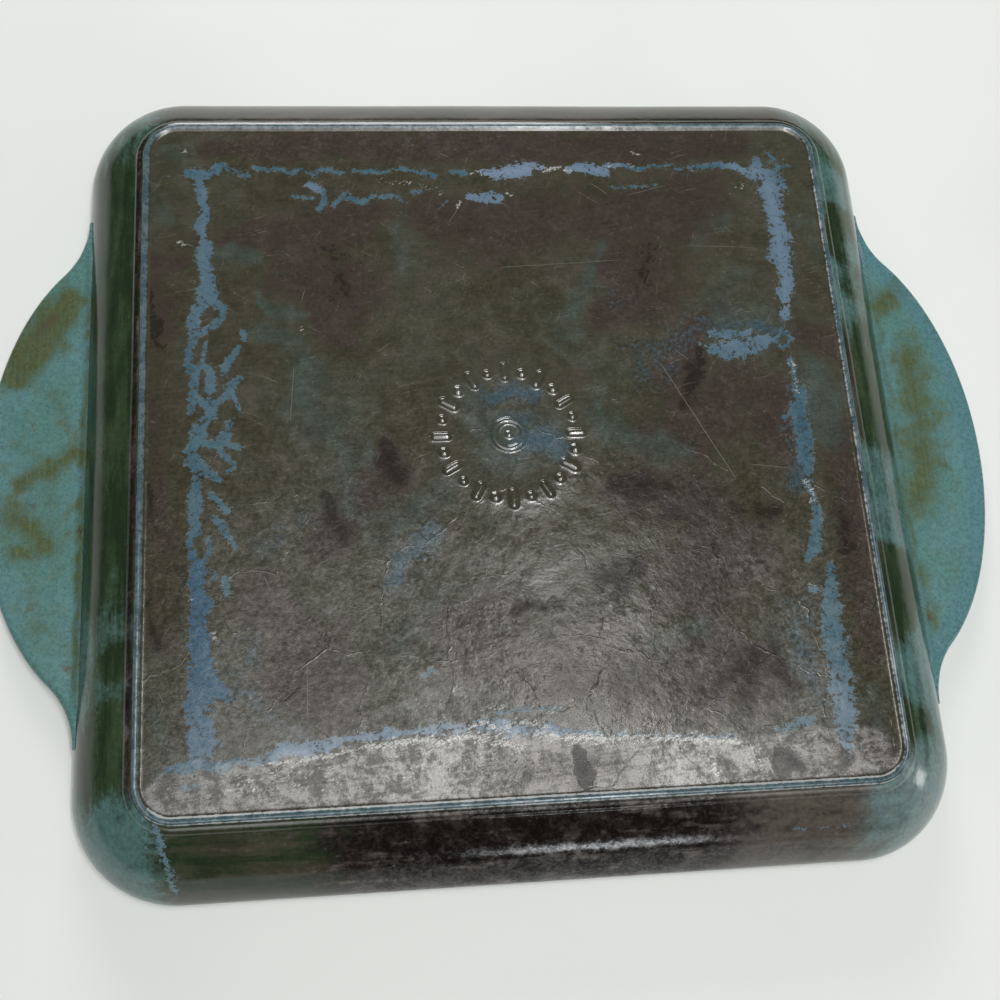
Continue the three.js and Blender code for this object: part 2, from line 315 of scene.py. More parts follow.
# ------------------------------------------------------------------ where the surface is worn, stained or scratched, and where highlights, sheen and shade are painted
# Each stroke is a line of (x, y, half width) on the frame, laid on the plane of the base, with a strength.
# At strength 1 it is bare all along; lower strengths leave flakes.
WORN = [
    # left run of the contact band, from the far corner down
    (0.62, [(166, 174, 1.5), (187, 174, 2)]),
    (0.95, [(187, 172, 5), (200, 175, 8), (210, 173, 7), (221, 166, 5)]),
    (1.0, [(200, 177, 7), (201, 188, 5), (202, 205, 5), (205, 218, 6), (199, 226, 5.5), (202, 235, 4)]),
    (1.0, [(204, 245, 7), (204, 259, 8), (205, 269, 6), (210, 281, 8), (207, 291, 11), (201, 303, 5), (193, 319, 7), (196, 333, 5.5)]),
    (0.95, [(209, 300, 6), (222, 308, 5), (221, 318, 4), (214, 325, 4), (204, 332, 4)]),
    (1.0, [(193, 336, 5), (190, 350, 4.5), (188, 367, 4)]),
    (0.7, [(206, 343, 3.5), (205, 352, 3), (204, 362, 3)]),
    (1.0, [(190, 373, 4), (202, 367, 4), (211, 374, 4.5), (211, 393, 5)]),
    (1.0, [(194, 373, 4.5), (196, 390, 5), (194, 404, 6), (190, 412, 4)]),
    (0.95, [(196, 404, 5), (209, 402, 6), (211, 415, 6), (202, 424, 6)]),
    (1.0, [(200, 426, 6), (198, 439, 9), (190, 450, 5), (192, 462, 9), (200, 468, 8)]),
    (0.95, [(198, 462, 6), (208, 473, 5), (219, 481, 4)]),
    (1.0, [(196, 476, 5), (195, 490, 5.5), (194, 505, 7), (194, 520, 6), (197, 532, 6)]),
    (0.9, [(192, 534, 4), (190, 545, 4), (192, 557, 4)]),
    (0.7, [(210, 540, 4), (211, 552, 4), (204, 564, 5)]),
    (1.0, [(198, 566, 8), (198, 572, 9), (197, 590, 7), (203, 604, 9), (200, 618, 8), (200, 640, 12), (201, 664, 12),
           (205, 682, 15), (201, 705, 14), (201, 722, 15), (203, 745, 17)]),
    (1.25, [(197, 578, 6), (198, 610, 6), (199, 650, 9), (200, 690, 10), (200, 730, 10)]),
    (0.8, [(213, 568, 3), (214, 578, 3)]),
    (0.95, [(207, 680, 12), (221, 694, 8), (229, 699, 4)]),
    (0.85, [(226, 580, 4.5), (228, 594, 4.5)]),
    (0.75, [(243, 332, 4), (243, 341, 3)]),
    (0.95, [(238, 347, 2.5), (232, 358, 4), (226, 367, 5), (223, 374, 3)]),
    (0.95, [(241, 379, 4), (231, 384, 6.5), (229, 394, 5), (218, 402, 4), (208, 406, 5)]),
    (0.85, [(233, 398, 3), (237, 404, 2.5), (240, 412, 2.5)]),
    (0.9, [(229, 424, 4), (225, 439, 7), (215, 447, 5), (204, 444, 5)]),
    (0.85, [(225, 444, 5), (233, 446, 4), (243, 448, 3)]),
    (0.9, [(222, 452, 4.5), (229, 461, 4), (235, 468, 3.5), (227, 473, 2.5)]),
    (0.8, [(246, 482, 4.5)]),
    (0.85, [(212, 496, 5), (220, 504, 4), (228, 511, 5)]),
    (0.9, [(214, 518, 3), (222, 526, 5.5), (230, 538, 3), (236, 547, 2.5)]),
    (0.85, [(165, 771, 3), (180, 769, 6), (200, 766, 8), (216, 766, 8), (238, 758, 5)]),
    (0.6, [(180, 788, 5), (200, 786, 5)]),
    # near run
    (0.85, [(236, 760, 5), (252, 762, 4), (270, 756, 7), (285, 746, 7), (303, 750, 9), (320, 748, 8), (337, 742, 8)]),
    (0.72, [(337, 742, 7), (360, 738, 8), (392, 734, 7), (422, 731, 7), (455, 729, 8)]),
    (0.78, [(455, 729, 7), (490, 724, 9), (520, 731, 8), (548, 731, 7), (575, 733, 6)]),
    (0.62, [(575, 733, 6), (612, 735, 6), (650, 735, 5), (690, 736, 5), (735, 736, 5)]),
    (0.6, [(495, 712, 5), (560, 708, 5)]),
    (0.8, [(776, 730, 4), (798, 723, 7), (812, 720, 5)]),
    # right run, from the near corner up
    (0.62, [(850, 762, 6), (848, 748, 8)]),
    (0.9, [(848, 744, 8), (844, 720, 12), (843, 698, 14), (840, 676, 13), (837, 656, 13), (833, 631, 12), (830, 604, 9),
           (830, 585, 8), (830, 566, 5)]),
    (0.62, [(822, 592, 6), (812, 590, 5)]),
    (0.9, [(806, 558, 4), (815, 546, 8), (817, 530, 6), (817, 516, 6.5), (815, 506, 4)]),
    (0.66, [(813, 500, 4), (808, 486, 5), (810, 476, 5)]),
    (1.0, [(808, 470, 5), (806, 462, 8), (805, 445, 10), (801, 425, 9), (798, 408, 7), (801, 392, 5)]),
    (0.66, [(795, 398, 6), (794, 378, 5), (790, 360, 5)]),
    (0.72, [(783, 416, 4), (793, 412, 6)]),
    (0.75, [(783, 328, 3), (792, 337, 3), (784, 349, 3), (774, 340, 3), (782, 329, 3)]),
    (1.0, [(786, 314, 5.5), (786, 302, 6), (784, 292, 8), (788, 281, 6.5), (786, 269, 7), (781, 254, 12), (780, 234, 11),
           (776, 218, 9), (770, 196, 11), (775, 180, 10), (752, 173, 8)]),
    (0.8, [(756, 158, 4), (757, 166, 6)]),
    (0.62, [(768, 152, 6), (772, 160, 5)]),
    (0.72, [(776, 168, 5), (788, 165, 4)]),
    # far run, from the right corner to the left
    (0.85, [(752, 172, 6), (736, 166, 5), (715, 165, 4.5), (693, 167, 4)]),
    (0.68, [(684, 168, 4), (660, 166, 3.5), (636, 167, 4)]),
    (0.8, [(640, 170, 3), (622, 165, 3), (606, 166, 4)]),
    (1.0, [(606, 172, 5), (592, 170, 6.5), (578, 167, 5), (568, 170, 4)]),
    (1.0, [(541, 168, 4), (533, 164, 4), (524, 169, 8), (505, 172, 8), (492, 175, 6), (483, 174, 4)]),
    (1.0, [(500, 199, 4.5), (490, 197, 6), (478, 197, 6), (469, 196, 4)]),
    (0.95, [(453, 172, 3.5), (463, 175, 4)]),
    (0.8, [(430, 174, 4), (438, 176, 4)]),
    (0.62, [(612, 187, 4), (655, 186, 3)]),
    (0.7, [(440, 176, 4), (420, 172, 4), (400, 169, 3.5), (380, 172, 3), (352, 171, 3)]),
    (0.62, [(414, 193, 4), (424, 190, 3)]),
    (0.6, [(441, 207, 3), (447, 200, 3)]),
    (0.68, [(405, 203, 3), (398, 195, 3.5), (378, 198, 3)]),
    (0.78, [(335, 204, 3), (345, 196, 4.5), (361, 203, 4), (374, 197, 3)]),
    (0.78, [(343, 171, 2.5), (333, 170, 3), (320, 168, 2.5), (312, 174, 4), (301, 168, 3), (291, 174, 3), (280, 169, 4), (266, 170, 4),
            (254, 167, 3)]),
    (0.85, [(306, 184, 4), (314, 186, 5), (324, 192, 4), (326, 201, 4), (319, 210, 3)]),
    (0.62, [(292, 197, 3), (312, 198, 3.5)]),
    (0.72, [(251, 177, 4), (238, 173, 5), (226, 170, 5)]),
    # patches away from the band
    (0.95, [(712, 350, 5), (728, 350, 9), (745, 347, 12), (762, 342, 8), (768, 337, 4)]),
    (0.8, [(712, 334, 5), (730, 334, 6), (750, 333, 6)]),
    (0.6, [(701, 344, 2), (714, 348, 4)]),
    (0.66, [(422, 676, 4), (432, 672, 5)]),
    (0.5, [(405, 716, 4), (410, 710, 4)]),
]

# Grey-white flakes, chips and scuffs; the strokes along the near crease and over the near margin are painted highlight,
# the sheen there painted as pale colour
PALE_AND_SHEEN = [
    (0.8, [(471, 174, 2), (476, 170, 2), (482, 176, 2)]),
    (0.85, [(545, 171, 3), (553, 169, 3), (562, 169, 3.5), (570, 171, 2.5)]),
    (0.9, [(519, 185, 3)]), (0.85, [(507, 193, 2.5), (512, 195, 2)]), (0.9, [(471, 211, 3)]),
    (0.8, [(461, 200, 3), (458, 206, 2.5)]), (0.7, [(442, 205, 4)]), (0.75, [(634, 153, 3.5), (640, 153, 3)]),
    (0.75, [(525, 157, 2.5)]), (0.7, [(620, 184, 4)]), (0.65, [(576, 183, 3)]), (0.5, [(604, 166, 3), (622, 164, 3), (640, 168, 3)]),
    (1.0, [(179, 243, 2.5), (183, 243.5, 3)]), (0.6, [(187, 152, 3), (182, 150, 3)]), (0.75, [(303, 326, 2.5), (303, 332, 2)]),
    (0.75, [(172, 369, 3.5)]), (0.7, [(174, 342, 2)]), (0.65, [(256, 450, 4)]), (0.6, [(258, 380, 3)]), (0.5, [(169, 437, 4)]),
    (0.8, [(215, 634, 4), (214, 639, 3)]), (0.75, [(204, 594, 2.5)]), (0.6, [(200, 625, 2)]), (0.75, [(211, 651, 2.5)]),
    (0.6, [(186, 595, 3), (190, 600, 3)]),
    # painted highlight: the strokes from here to the broad near-margin ones paint the sheen along the near crease and
    # margin, not flakes
    (0.85, [(262, 764, 2), (300, 761, 3), (323, 757, 3), (356, 748, 4), (400, 742, 5), (440, 740, 5), (470, 736, 6), (500, 742, 6),
            (522, 748, 4)]),
    (0.8, [(468, 728, 3), (486, 722, 4), (500, 730, 5), (520, 722, 4), (545, 728, 5)]),
    (0.44, [(235, 783, 9), (290, 779, 11), (335, 776, 9)]),
    (0.85, [(535, 734, 4), (560, 738, 6), (600, 738, 6), (626, 737, 6), (655, 738, 5), (690, 739, 6), (738, 741, 4)]),
    (0.6, [(705, 745, 8), (712, 765, 11), (722, 780, 8)]), (0.6, [(748, 750, 8), (755, 762, 11), (765, 768, 8)]),
    (0.6, [(573, 700, 4), (560, 708, 4), (545, 712, 4)]), (0.52, [(590, 692, 6), (605, 698, 6)]), (0.5, [(480, 712, 5), (500, 706, 5)]),
    (0.45, [(230, 785, 16), (280, 775, 22), (330, 768, 24)]), (0.42, [(400, 766, 20), (450, 762, 20), (500, 763, 18)]),
    (0.62, [(805, 480, 5), (812, 490, 4), (810, 500, 5)]), (0.6, [(791, 360, 5), (795, 378, 5), (797, 392, 5)]),
    (0.5, [(735, 190, 6), (745, 185, 5)]), (0.5, [(380, 180, 5), (410, 184, 5), (440, 190, 6)]),
]

# Where the bare enamel is lightest
LILAC = [
    (1.0, [(482, 175, 6), (505, 172, 10), (528, 168, 10), (543, 168, 6)]),
    (0.75, [(565, 168, 8), (590, 170, 9), (612, 168, 8)]),
    (0.6, [(468, 196, 8), (486, 198, 10), (503, 198, 6)]),
    (0.6, [(735, 167, 8), (755, 172, 10), (770, 190, 14), (776, 218, 12), (780, 240, 14), (786, 270, 10), (786, 312, 9)]),
    (0.25, [(205, 176, 9), (204, 250, 9), (206, 290, 13), (196, 330, 9)]),
    (0.5, [(306, 184, 6), (316, 188, 7)]),
    (0.3, [(712, 340, 14), (745, 345, 16), (765, 340, 10)]),
    (0.6, [(285, 750, 12), (320, 750, 12), (356, 745, 10), (400, 738, 10), (455, 731, 10), (500, 727, 12), (560, 735, 10)]),
    (0.1, [(210, 370, 14), (200, 420, 14), (228, 390, 14)]),
    (0.2, [(203, 745, 22), (201, 722, 16)]),
    (0.3, [(843, 700, 18), (845, 740, 14)]),
]

# Where it is deepest
DEEP = [
    (1.0, [(197, 560, 18), (198, 600, 20), (200, 650, 24)]), (0.9, [(200, 650, 24), (203, 700, 26)]),
    (0.6, [(203, 700, 26), (203, 745, 26)]), (0.4, [(806, 462, 12), (801, 425, 12), (798, 408, 10)]),
]

# Soft clouds of blue: enamel that shows dimly through what is left of the residue
DIM_BLUE = [
    (0.85, [(398, 585, 12), (404, 570, 14), (420, 548, 12), (430, 530, 8)]),
    (0.8, [(490, 394, 9), (512, 391, 10), (534, 396, 8)]),
    (1.0, [(516, 444, 10), (540, 437, 13), (556, 450, 10)]),
    (0.6, [(500, 415, 10), (520, 420, 12)]), (0.5, [(488, 458, 10), (515, 462, 10)]),
    (0.7, [(760, 322, 12), (782, 330, 10)]),
    (0.4, [(300, 520, 22), (260, 545, 16)]),
    (0.7, [(790, 480, 10), (800, 395, 14)]),
    (0.6, [(846, 300, 8), (852, 350, 8)]),
    (0.4, [(620, 300, 12), (600, 280, 10)]),
    (0.5, [(650, 360, 30), (700, 320, 20)]),
    (0.6, [(800, 620, 20), (815, 700, 20)]),
    (0.5, [(250, 640, 14), (240, 690, 16), (300, 740, 16)]),
    (0.5, [(720, 335, 30), (760, 325, 26)]),
]

# Grey-green to teal veils
VEIL = [
    (1.7, [(263, 293, 1.6), (267, 303, 2.4), (276, 312, 3.2), (288, 318, 3.6), (300, 319, 3.0), (312, 317, 1.6)]),
    (0.9, [(262, 291, 3), (270, 305, 4), (282, 314, 5), (296, 318, 5), (311, 317, 4)]),
    (0.85, [(214, 255, 8), (236, 259, 10), (251, 259, 8)]),
    (0.8, [(257, 337, 6), (280, 336, 7), (302, 344, 7)]),
    (0.75, [(300, 365, 20), (312, 395, 28), (330, 430, 30), (345, 462, 26)]),
    (0.42, [(350, 500, 30), (380, 530, 30), (410, 540, 26)]),
    (0.85, [(598, 246, 6), (591, 270, 9), (577, 298, 10), (570, 312, 8)]),
    (0.7, [(396, 232, 8), (398, 255, 13), (402, 280, 10)]),
    (0.5, [(560, 330, 40), (590, 370, 40), (600, 420, 30)]),
    (0.95, [(812, 362, 12), (822, 392, 24), (830, 425, 18)]),
    (0.8, [(735, 326, 24), (765, 322, 24)]),
    (0.8, [(470, 400, 22), (500, 440, 34), (530, 430, 30)]),
    (0.6, [(455, 478, 16), (430, 500, 20), (400, 524, 22), (388, 540, 18)]),
    (0.75, [(590, 395, 14), (604, 425, 20), (650, 446, 18), (690, 452, 10)]),
    (0.7, [(228, 246, 6), (250, 256, 9), (236, 266, 6)]),
    (0.6, [(262, 325, 8), (280, 332, 10), (292, 340, 8)]),
    (0.55, [(150, 180, 8), (165, 205, 12), (172, 225, 8)]),
    (0.6, [(800, 215, 8), (818, 245, 12), (816, 262, 8)]),
    (0.7, [(735, 275, 8), (748, 277, 10), (762, 272, 6)]),
    (0.6, [(655, 640, 12), (700, 632, 14)]),
    (0.35, [(450, 500, 26), (470, 540, 30), (520, 520, 24)]),
    (0.55, [(160, 760, 18), (150, 700, 14)]),
    (0.8, [(150, 780, 14), (170, 795, 20), (230, 790, 14)]),
    (0.5, [(165, 150, 14), (185, 148, 14)]),
    (0.55, [(745, 275, 18), (720, 300, 12)]),
    (0.5, [(820, 200, 14), (825, 260, 14)]),
    (0.55, [(700, 240, 12), (730, 210, 12)]),
    (0.6, [(870, 700, 14), (880, 740, 14)]),
    (0.5, [(255, 545, 14), (268, 548, 12)]),
    (0.5, [(400, 640, 30), (440, 600, 30)]),
]

# Purple-brown baked film
FILM = [
    (0.8, [(180, 262, 8), (150, 262, 8)]), (0.75, [(160, 310, 8), (172, 306, 8)]), (0.8, [(800, 325, 10), (828, 338, 12), (840, 350, 8)]),
    (0.85, [(840, 440, 14), (850, 520, 16), (862, 600, 18), (872, 650, 14)]), (0.7, [(150, 400, 8), (158, 460, 12), (165, 540, 12)]),
    (0.9, [(735, 320, 8), (700, 322, 8), (692, 345, 7), (694, 380, 10)]), (0.8, [(312, 300, 8), (330, 325, 14), (345, 345, 14)]),
    (1.0, [(215, 148, 12), (320, 146, 14), (420, 146, 13), (520, 146, 13), (640, 147, 14), (740, 147, 12)]),
    (0.9, [(225, 235, 10), (270, 236, 16), (320, 232, 24), (370, 215, 16)]),
    (1.0, [(300, 270, 28), (345, 285, 26), (345, 310, 16)]),
    (0.9, [(440, 220, 26), (500, 232, 30), (540, 220, 30)]),
    (1.0, [(600, 215, 28), (660, 215, 34), (700, 200, 26)]),
    (0.95, [(620, 255, 20), (655, 270, 34), (640, 300, 22), (600, 315, 12)]),
    (0.9, [(690, 330, 14), (680, 380, 24), (700, 420, 30), (660, 440, 20)]),
    (0.8, [(730, 390, 24), (770, 395, 18), (770, 440, 20)]),
    (0.9, [(385, 455, 16), (395, 480, 16), (350, 510, 20), (330, 540, 20)]),
    (0.8, [(270, 600, 24), (300, 640, 30), (280, 680, 24), (330, 700, 30)]),
    (0.7, [(480, 640, 40), (540, 680, 40), (600, 660, 40)]),
    (0.8, [(640, 480, 20), (700, 500, 34), (740, 560, 34), (700, 590, 40)]),
    (0.7, [(700, 650, 40), (760, 680, 30), (640, 700, 34)]),
    (0.5, [(160, 600, 10), (165, 640, 12)]),
    (0.6, [(158, 280, 10), (162, 330, 12)]),
    (0.6, [(740, 430, 24), (690, 425, 16)]),
]

# Darkest stains
DARK = [
    (0.75, [(618, 472, 8), (640, 478, 12), (668, 486, 8)]), (0.62, [(735, 505, 12), (770, 512, 14)]), (0.6, [(838, 520, 12), (850, 560, 14)]),
    (0.55, [(150, 470, 7), (160, 520, 9)]), (0.6, [(148, 590, 6), (152, 650, 8)]),
    (0.6, [(700, 690, 14), (760, 660, 18), (740, 700, 14)]), (0.6, [(520, 610, 10), (615, 600, 14)]), (0.5, [(300, 690, 8), (285, 700, 6)]),
    (0.8, [(380, 448, 10), (392, 470, 14), (400, 480, 10)]),
    (0.7, [(325, 500, 14), (345, 535, 14)]),
    (0.6, [(150, 290, 8), (155, 350, 8)]),
    (0.7, [(625, 478, 14), (655, 490, 12)]),
    (0.7, [(600, 580, 20), (640, 560, 18), (620, 600, 14)]),
    (0.7, [(700, 350, 8), (692, 372, 10), (684, 400, 8)]),
    (0.95, [(577, 752, 7), (585, 768, 10), (588, 782, 8)]),
    (0.85, [(785, 757, 8), (789, 766, 8)]),
    (0.6, [(790, 690, 10), (775, 640, 14)]),
    (0.6, [(345, 290, 14), (330, 250, 12)]),
    (0.6, [(645, 250, 14), (640, 275, 14)]),
    (0.7, [(795, 757, 8), (806, 762, 7)]),
    (0.52, [(650, 505, 44), (705, 515, 42)]), (0.3, [(450, 590, 40), (540, 600, 30)]), (0.32, [(500, 668, 30), (600, 668, 34)]), (0.36, [(470, 774, 12), (560, 770, 15)]),
]

# Where the residue is dull
DULL = [
    (1.0, [(560, 690, 50), (640, 690, 56)]), (0.6, [(590, 640, 50), (520, 620, 40)]),
    (1.0, [(530, 775, 40), (560, 772, 46), (615, 768, 40)]),
    (1.0, [(640, 430, 50), (720, 450, 60), (760, 510, 46)]), (0.7, [(480, 520, 60), (600, 540, 60)]),
    (1.0, [(700, 560, 50), (740, 620, 50)]),
]


def strokes(x, y, kind, z=25.0, grow=1.0):
    """Strength of the nearest stroke at each place: it falls from its strength on the line to half at its edge."""
    found = np.zeros_like(x)
    for strong, line in kind:
        line = np.array(line, float)
        mid = on(line[:, :2], z)
        side = on(line[:, :2] + [1, 0], z)
        wide = line[:, 2] * np.hypot(*(side - mid).T) * grow
        for a, b, wa, wb in zip(mid[:-1], mid[1:], wide[:-1], wide[1:]):
            d = b - a
            reach = 2.2 * max(wa, wb)
            near = (
                (x > min(a[0], b[0]) - reach) & (x < max(a[0], b[0]) + reach)
                & (y > min(a[1], b[1]) - reach) & (y < max(a[1], b[1]) + reach)
            )
            if not near.any():
                continue
            px, py = x[near] - a[0], y[near] - a[1]
            t = np.clip((px * d[0] + py * d[1]) / max(d @ d, 1e-9), 0, 1)
            w = wa + (wb - wa) * t
            gap = np.hypot(px - t * d[0], py - t * d[1]) / w
            found[near] = np.maximum(found[near], np.clip(strong * (1 - 0.5 * gap), 0, 1))
    return found


# Lighter marks on the walls, drawn on the frame itself: partly enamel rubbed through, partly painted highlight, such as
# the specks along the near wall that paint the lamp's glints
STREAK_AND_GLINT = [
    (1.0, [(152, 804, 4), (158, 838, 5), (166, 862, 4), (176, 888, 4)]),
    (0.8, [(142, 812, 3), (146, 850, 3)]),
    (0.8, [(933, 782, 5), (944, 800, 6), (950, 822, 4)]),
    (0.7, [(905, 822, 4), (930, 838, 4)]),
    (0.7, [(826, 124, 4), (842, 134, 5)]),
    (0.6, [(118, 128, 3), (110, 146, 3)]),
    (0.55, [(895, 420, 1.5), (897, 470, 1.5)]),
    # painted highlight: specks of the lamp's reflection along the near wall
    (0.8, [(790, 829, 2), (806, 827, 2.5)]), (0.7, [(816, 827, 1.5), (838, 826, 1.5)]), (0.8, [(846, 825, 2), (850, 825, 2)]),
    (0.8, [(874, 790, 3), (878, 806, 4), (880, 824, 3)]), (0.6, [(720, 782, 2), (716, 800, 2)]),
]

# Olive and brown stains of the handles, drawn the same way; the first two lines, along the crease where each handle
# meets the wall, are partly stain and partly painted crease shade
OLIVE_AND_CREASE_SHADE = [
    # painted shade, partly stain: darker lines along the creases where the handles meet the wall
    (0.8, [(90, 290, 5), (89, 360, 5), (85, 430, 5), (82, 520, 6), (77, 640, 6), (75, 690, 5)]),
    (0.65, [(874, 290, 4), (882, 340, 4), (893, 410, 5), (907, 490, 6), (921, 570, 6), (934, 630, 6)]),
    (1.0, [(30, 350, 20), (50, 325, 16), (66, 312, 10)]),
    (0.85, [(20, 372, 8), (34, 376, 9)]),
    (1.0, [(88, 451, 8), (60, 462, 9), (38, 474, 11), (18, 486, 9)]),
    (0.9, [(8, 510, 16), (26, 528, 20), (48, 546, 12), (20, 556, 12)]),
    (0.5, [(60, 400, 14), (70, 430, 12)]),
    (0.95, [(880, 306, 14), (896, 292, 12)]),
    (0.9, [(908, 350, 16), (916, 400, 20), (922, 450, 22), (920, 500, 18)]),
    (0.55, [(900, 560, 16), (912, 620, 18)]),
    (0.45, [(30, 600, 20), (50, 640, 20)]), (1.3, [(16, 372, 15), (34, 345, 22), (56, 318, 19), (70, 298, 12)]),
    (0.5, [(40, 480, 40), (30, 520, 44), (60, 540, 30)]),
]
RUST = [
    (1.0, [(32, 506, 4)]),
    (0.75, [(36, 335, 9), (52, 318, 7)]),
    (0.7, [(20, 404, 1.3), (30, 420, 1.5), (41, 442, 1.3)]),
    (0.7, [(0, 558, 1.5), (41, 558, 1.5)]),
    (0.8, [(81, 530, 5)]), (0.7, [(78, 630, 5)]), (0.7, [(67, 668, 5)]),
    (0.6, [(883, 296, 8)]),
    (0.8, [(929, 619, 5)]),
    (0.5, [(940, 660, 4)]),
]

# Single scratches on the base, each with its width in mm
SCRATCHES = [
    (((658.6, 358.5), (731, 470)), 0.17), (((725, 460), (737, 480)), 0.14), (((743, 463), (799, 469)), 0.12),
    (((674, 348), (690.5, 360)), 0.13), (((495, 267), (623, 259)), 0.10), (((684, 245), (755, 247.5)), 0.10),
    (((587, 181), (610, 196)), 0.12), (((623, 196), (671, 184)), 0.10),
    (((294, 361), (290, 426)), 0.12), (((305, 287), (301, 303)), 0.12), (((462, 202), (447, 225)), 0.11),
    (((376, 352), (391, 341)), 0.11), (((264, 576), (271, 592)), 0.13), (((278, 706), (300, 683)), 0.12),
    (((307, 660), (308, 730)), 0.10), (((157, 690), (164, 705)), 0.13), (((164, 705), (158, 718)), 0.13),
    (((180, 243), (195, 246)), 0.20), (((365, 610), (378, 602)), 0.15), (((440, 580), (453, 585)), 0.12),
]


def seen(p):
    """Place of each point on the frame."""
    d = p - EYE
    w = d @ AHEAD
    return 500 + FOCAL * (d @ RIGHT) / w, 500 - FOCAL * (d @ UP) / w


def drawn(p, kind, bend, seed):
    """Strength of strokes drawn on the frame, at points in mm; their edges wander by about bend pixels."""
    u, v = seen(p)
    a, b = p[:, 0] + 0.7 * p[:, 2], p[:, 1] - 0.7 * p[:, 2]
    u = u + bend * 2 * (cloud(a, b, 5, seed) - 0.5)
    v = v + bend * 2 * (cloud(a, b, 5, seed + 1) - 0.5)
    found = np.zeros_like(u)
    for strong, line in kind:
        line = np.array(line, float)
        if len(line) == 1:
            line = np.vstack([line, line + [0.01, 0, 0]])
        for (ax, ay, wa), (bx, by, wb) in zip(line[:-1], line[1:]):
            dx, dy = bx - ax, by - ay
            t = np.clip(((u - ax) * dx + (v - ay) * dy) / (dx * dx + dy * dy), 0, 1)
            gap = np.hypot(u - ax - t * dx, v - ay - t * dy) / (wa + (wb - wa) * t)
            found = np.maximum(found, np.clip(strong * (1 - 0.5 * gap), 0, 1))
    return found


def outward(x, y):
    """The level direction out of the pan at each place of the wall."""
    dx = np.sign(x) * np.maximum(np.abs(x) - CORNER_AXIS, 0)
    dy = np.sign(y) * np.maximum(np.abs(y) - CORNER_AXIS, 0)
    r = np.maximum(np.hypot(dx, dy), 1e-6)
    return dx / r, dy / r


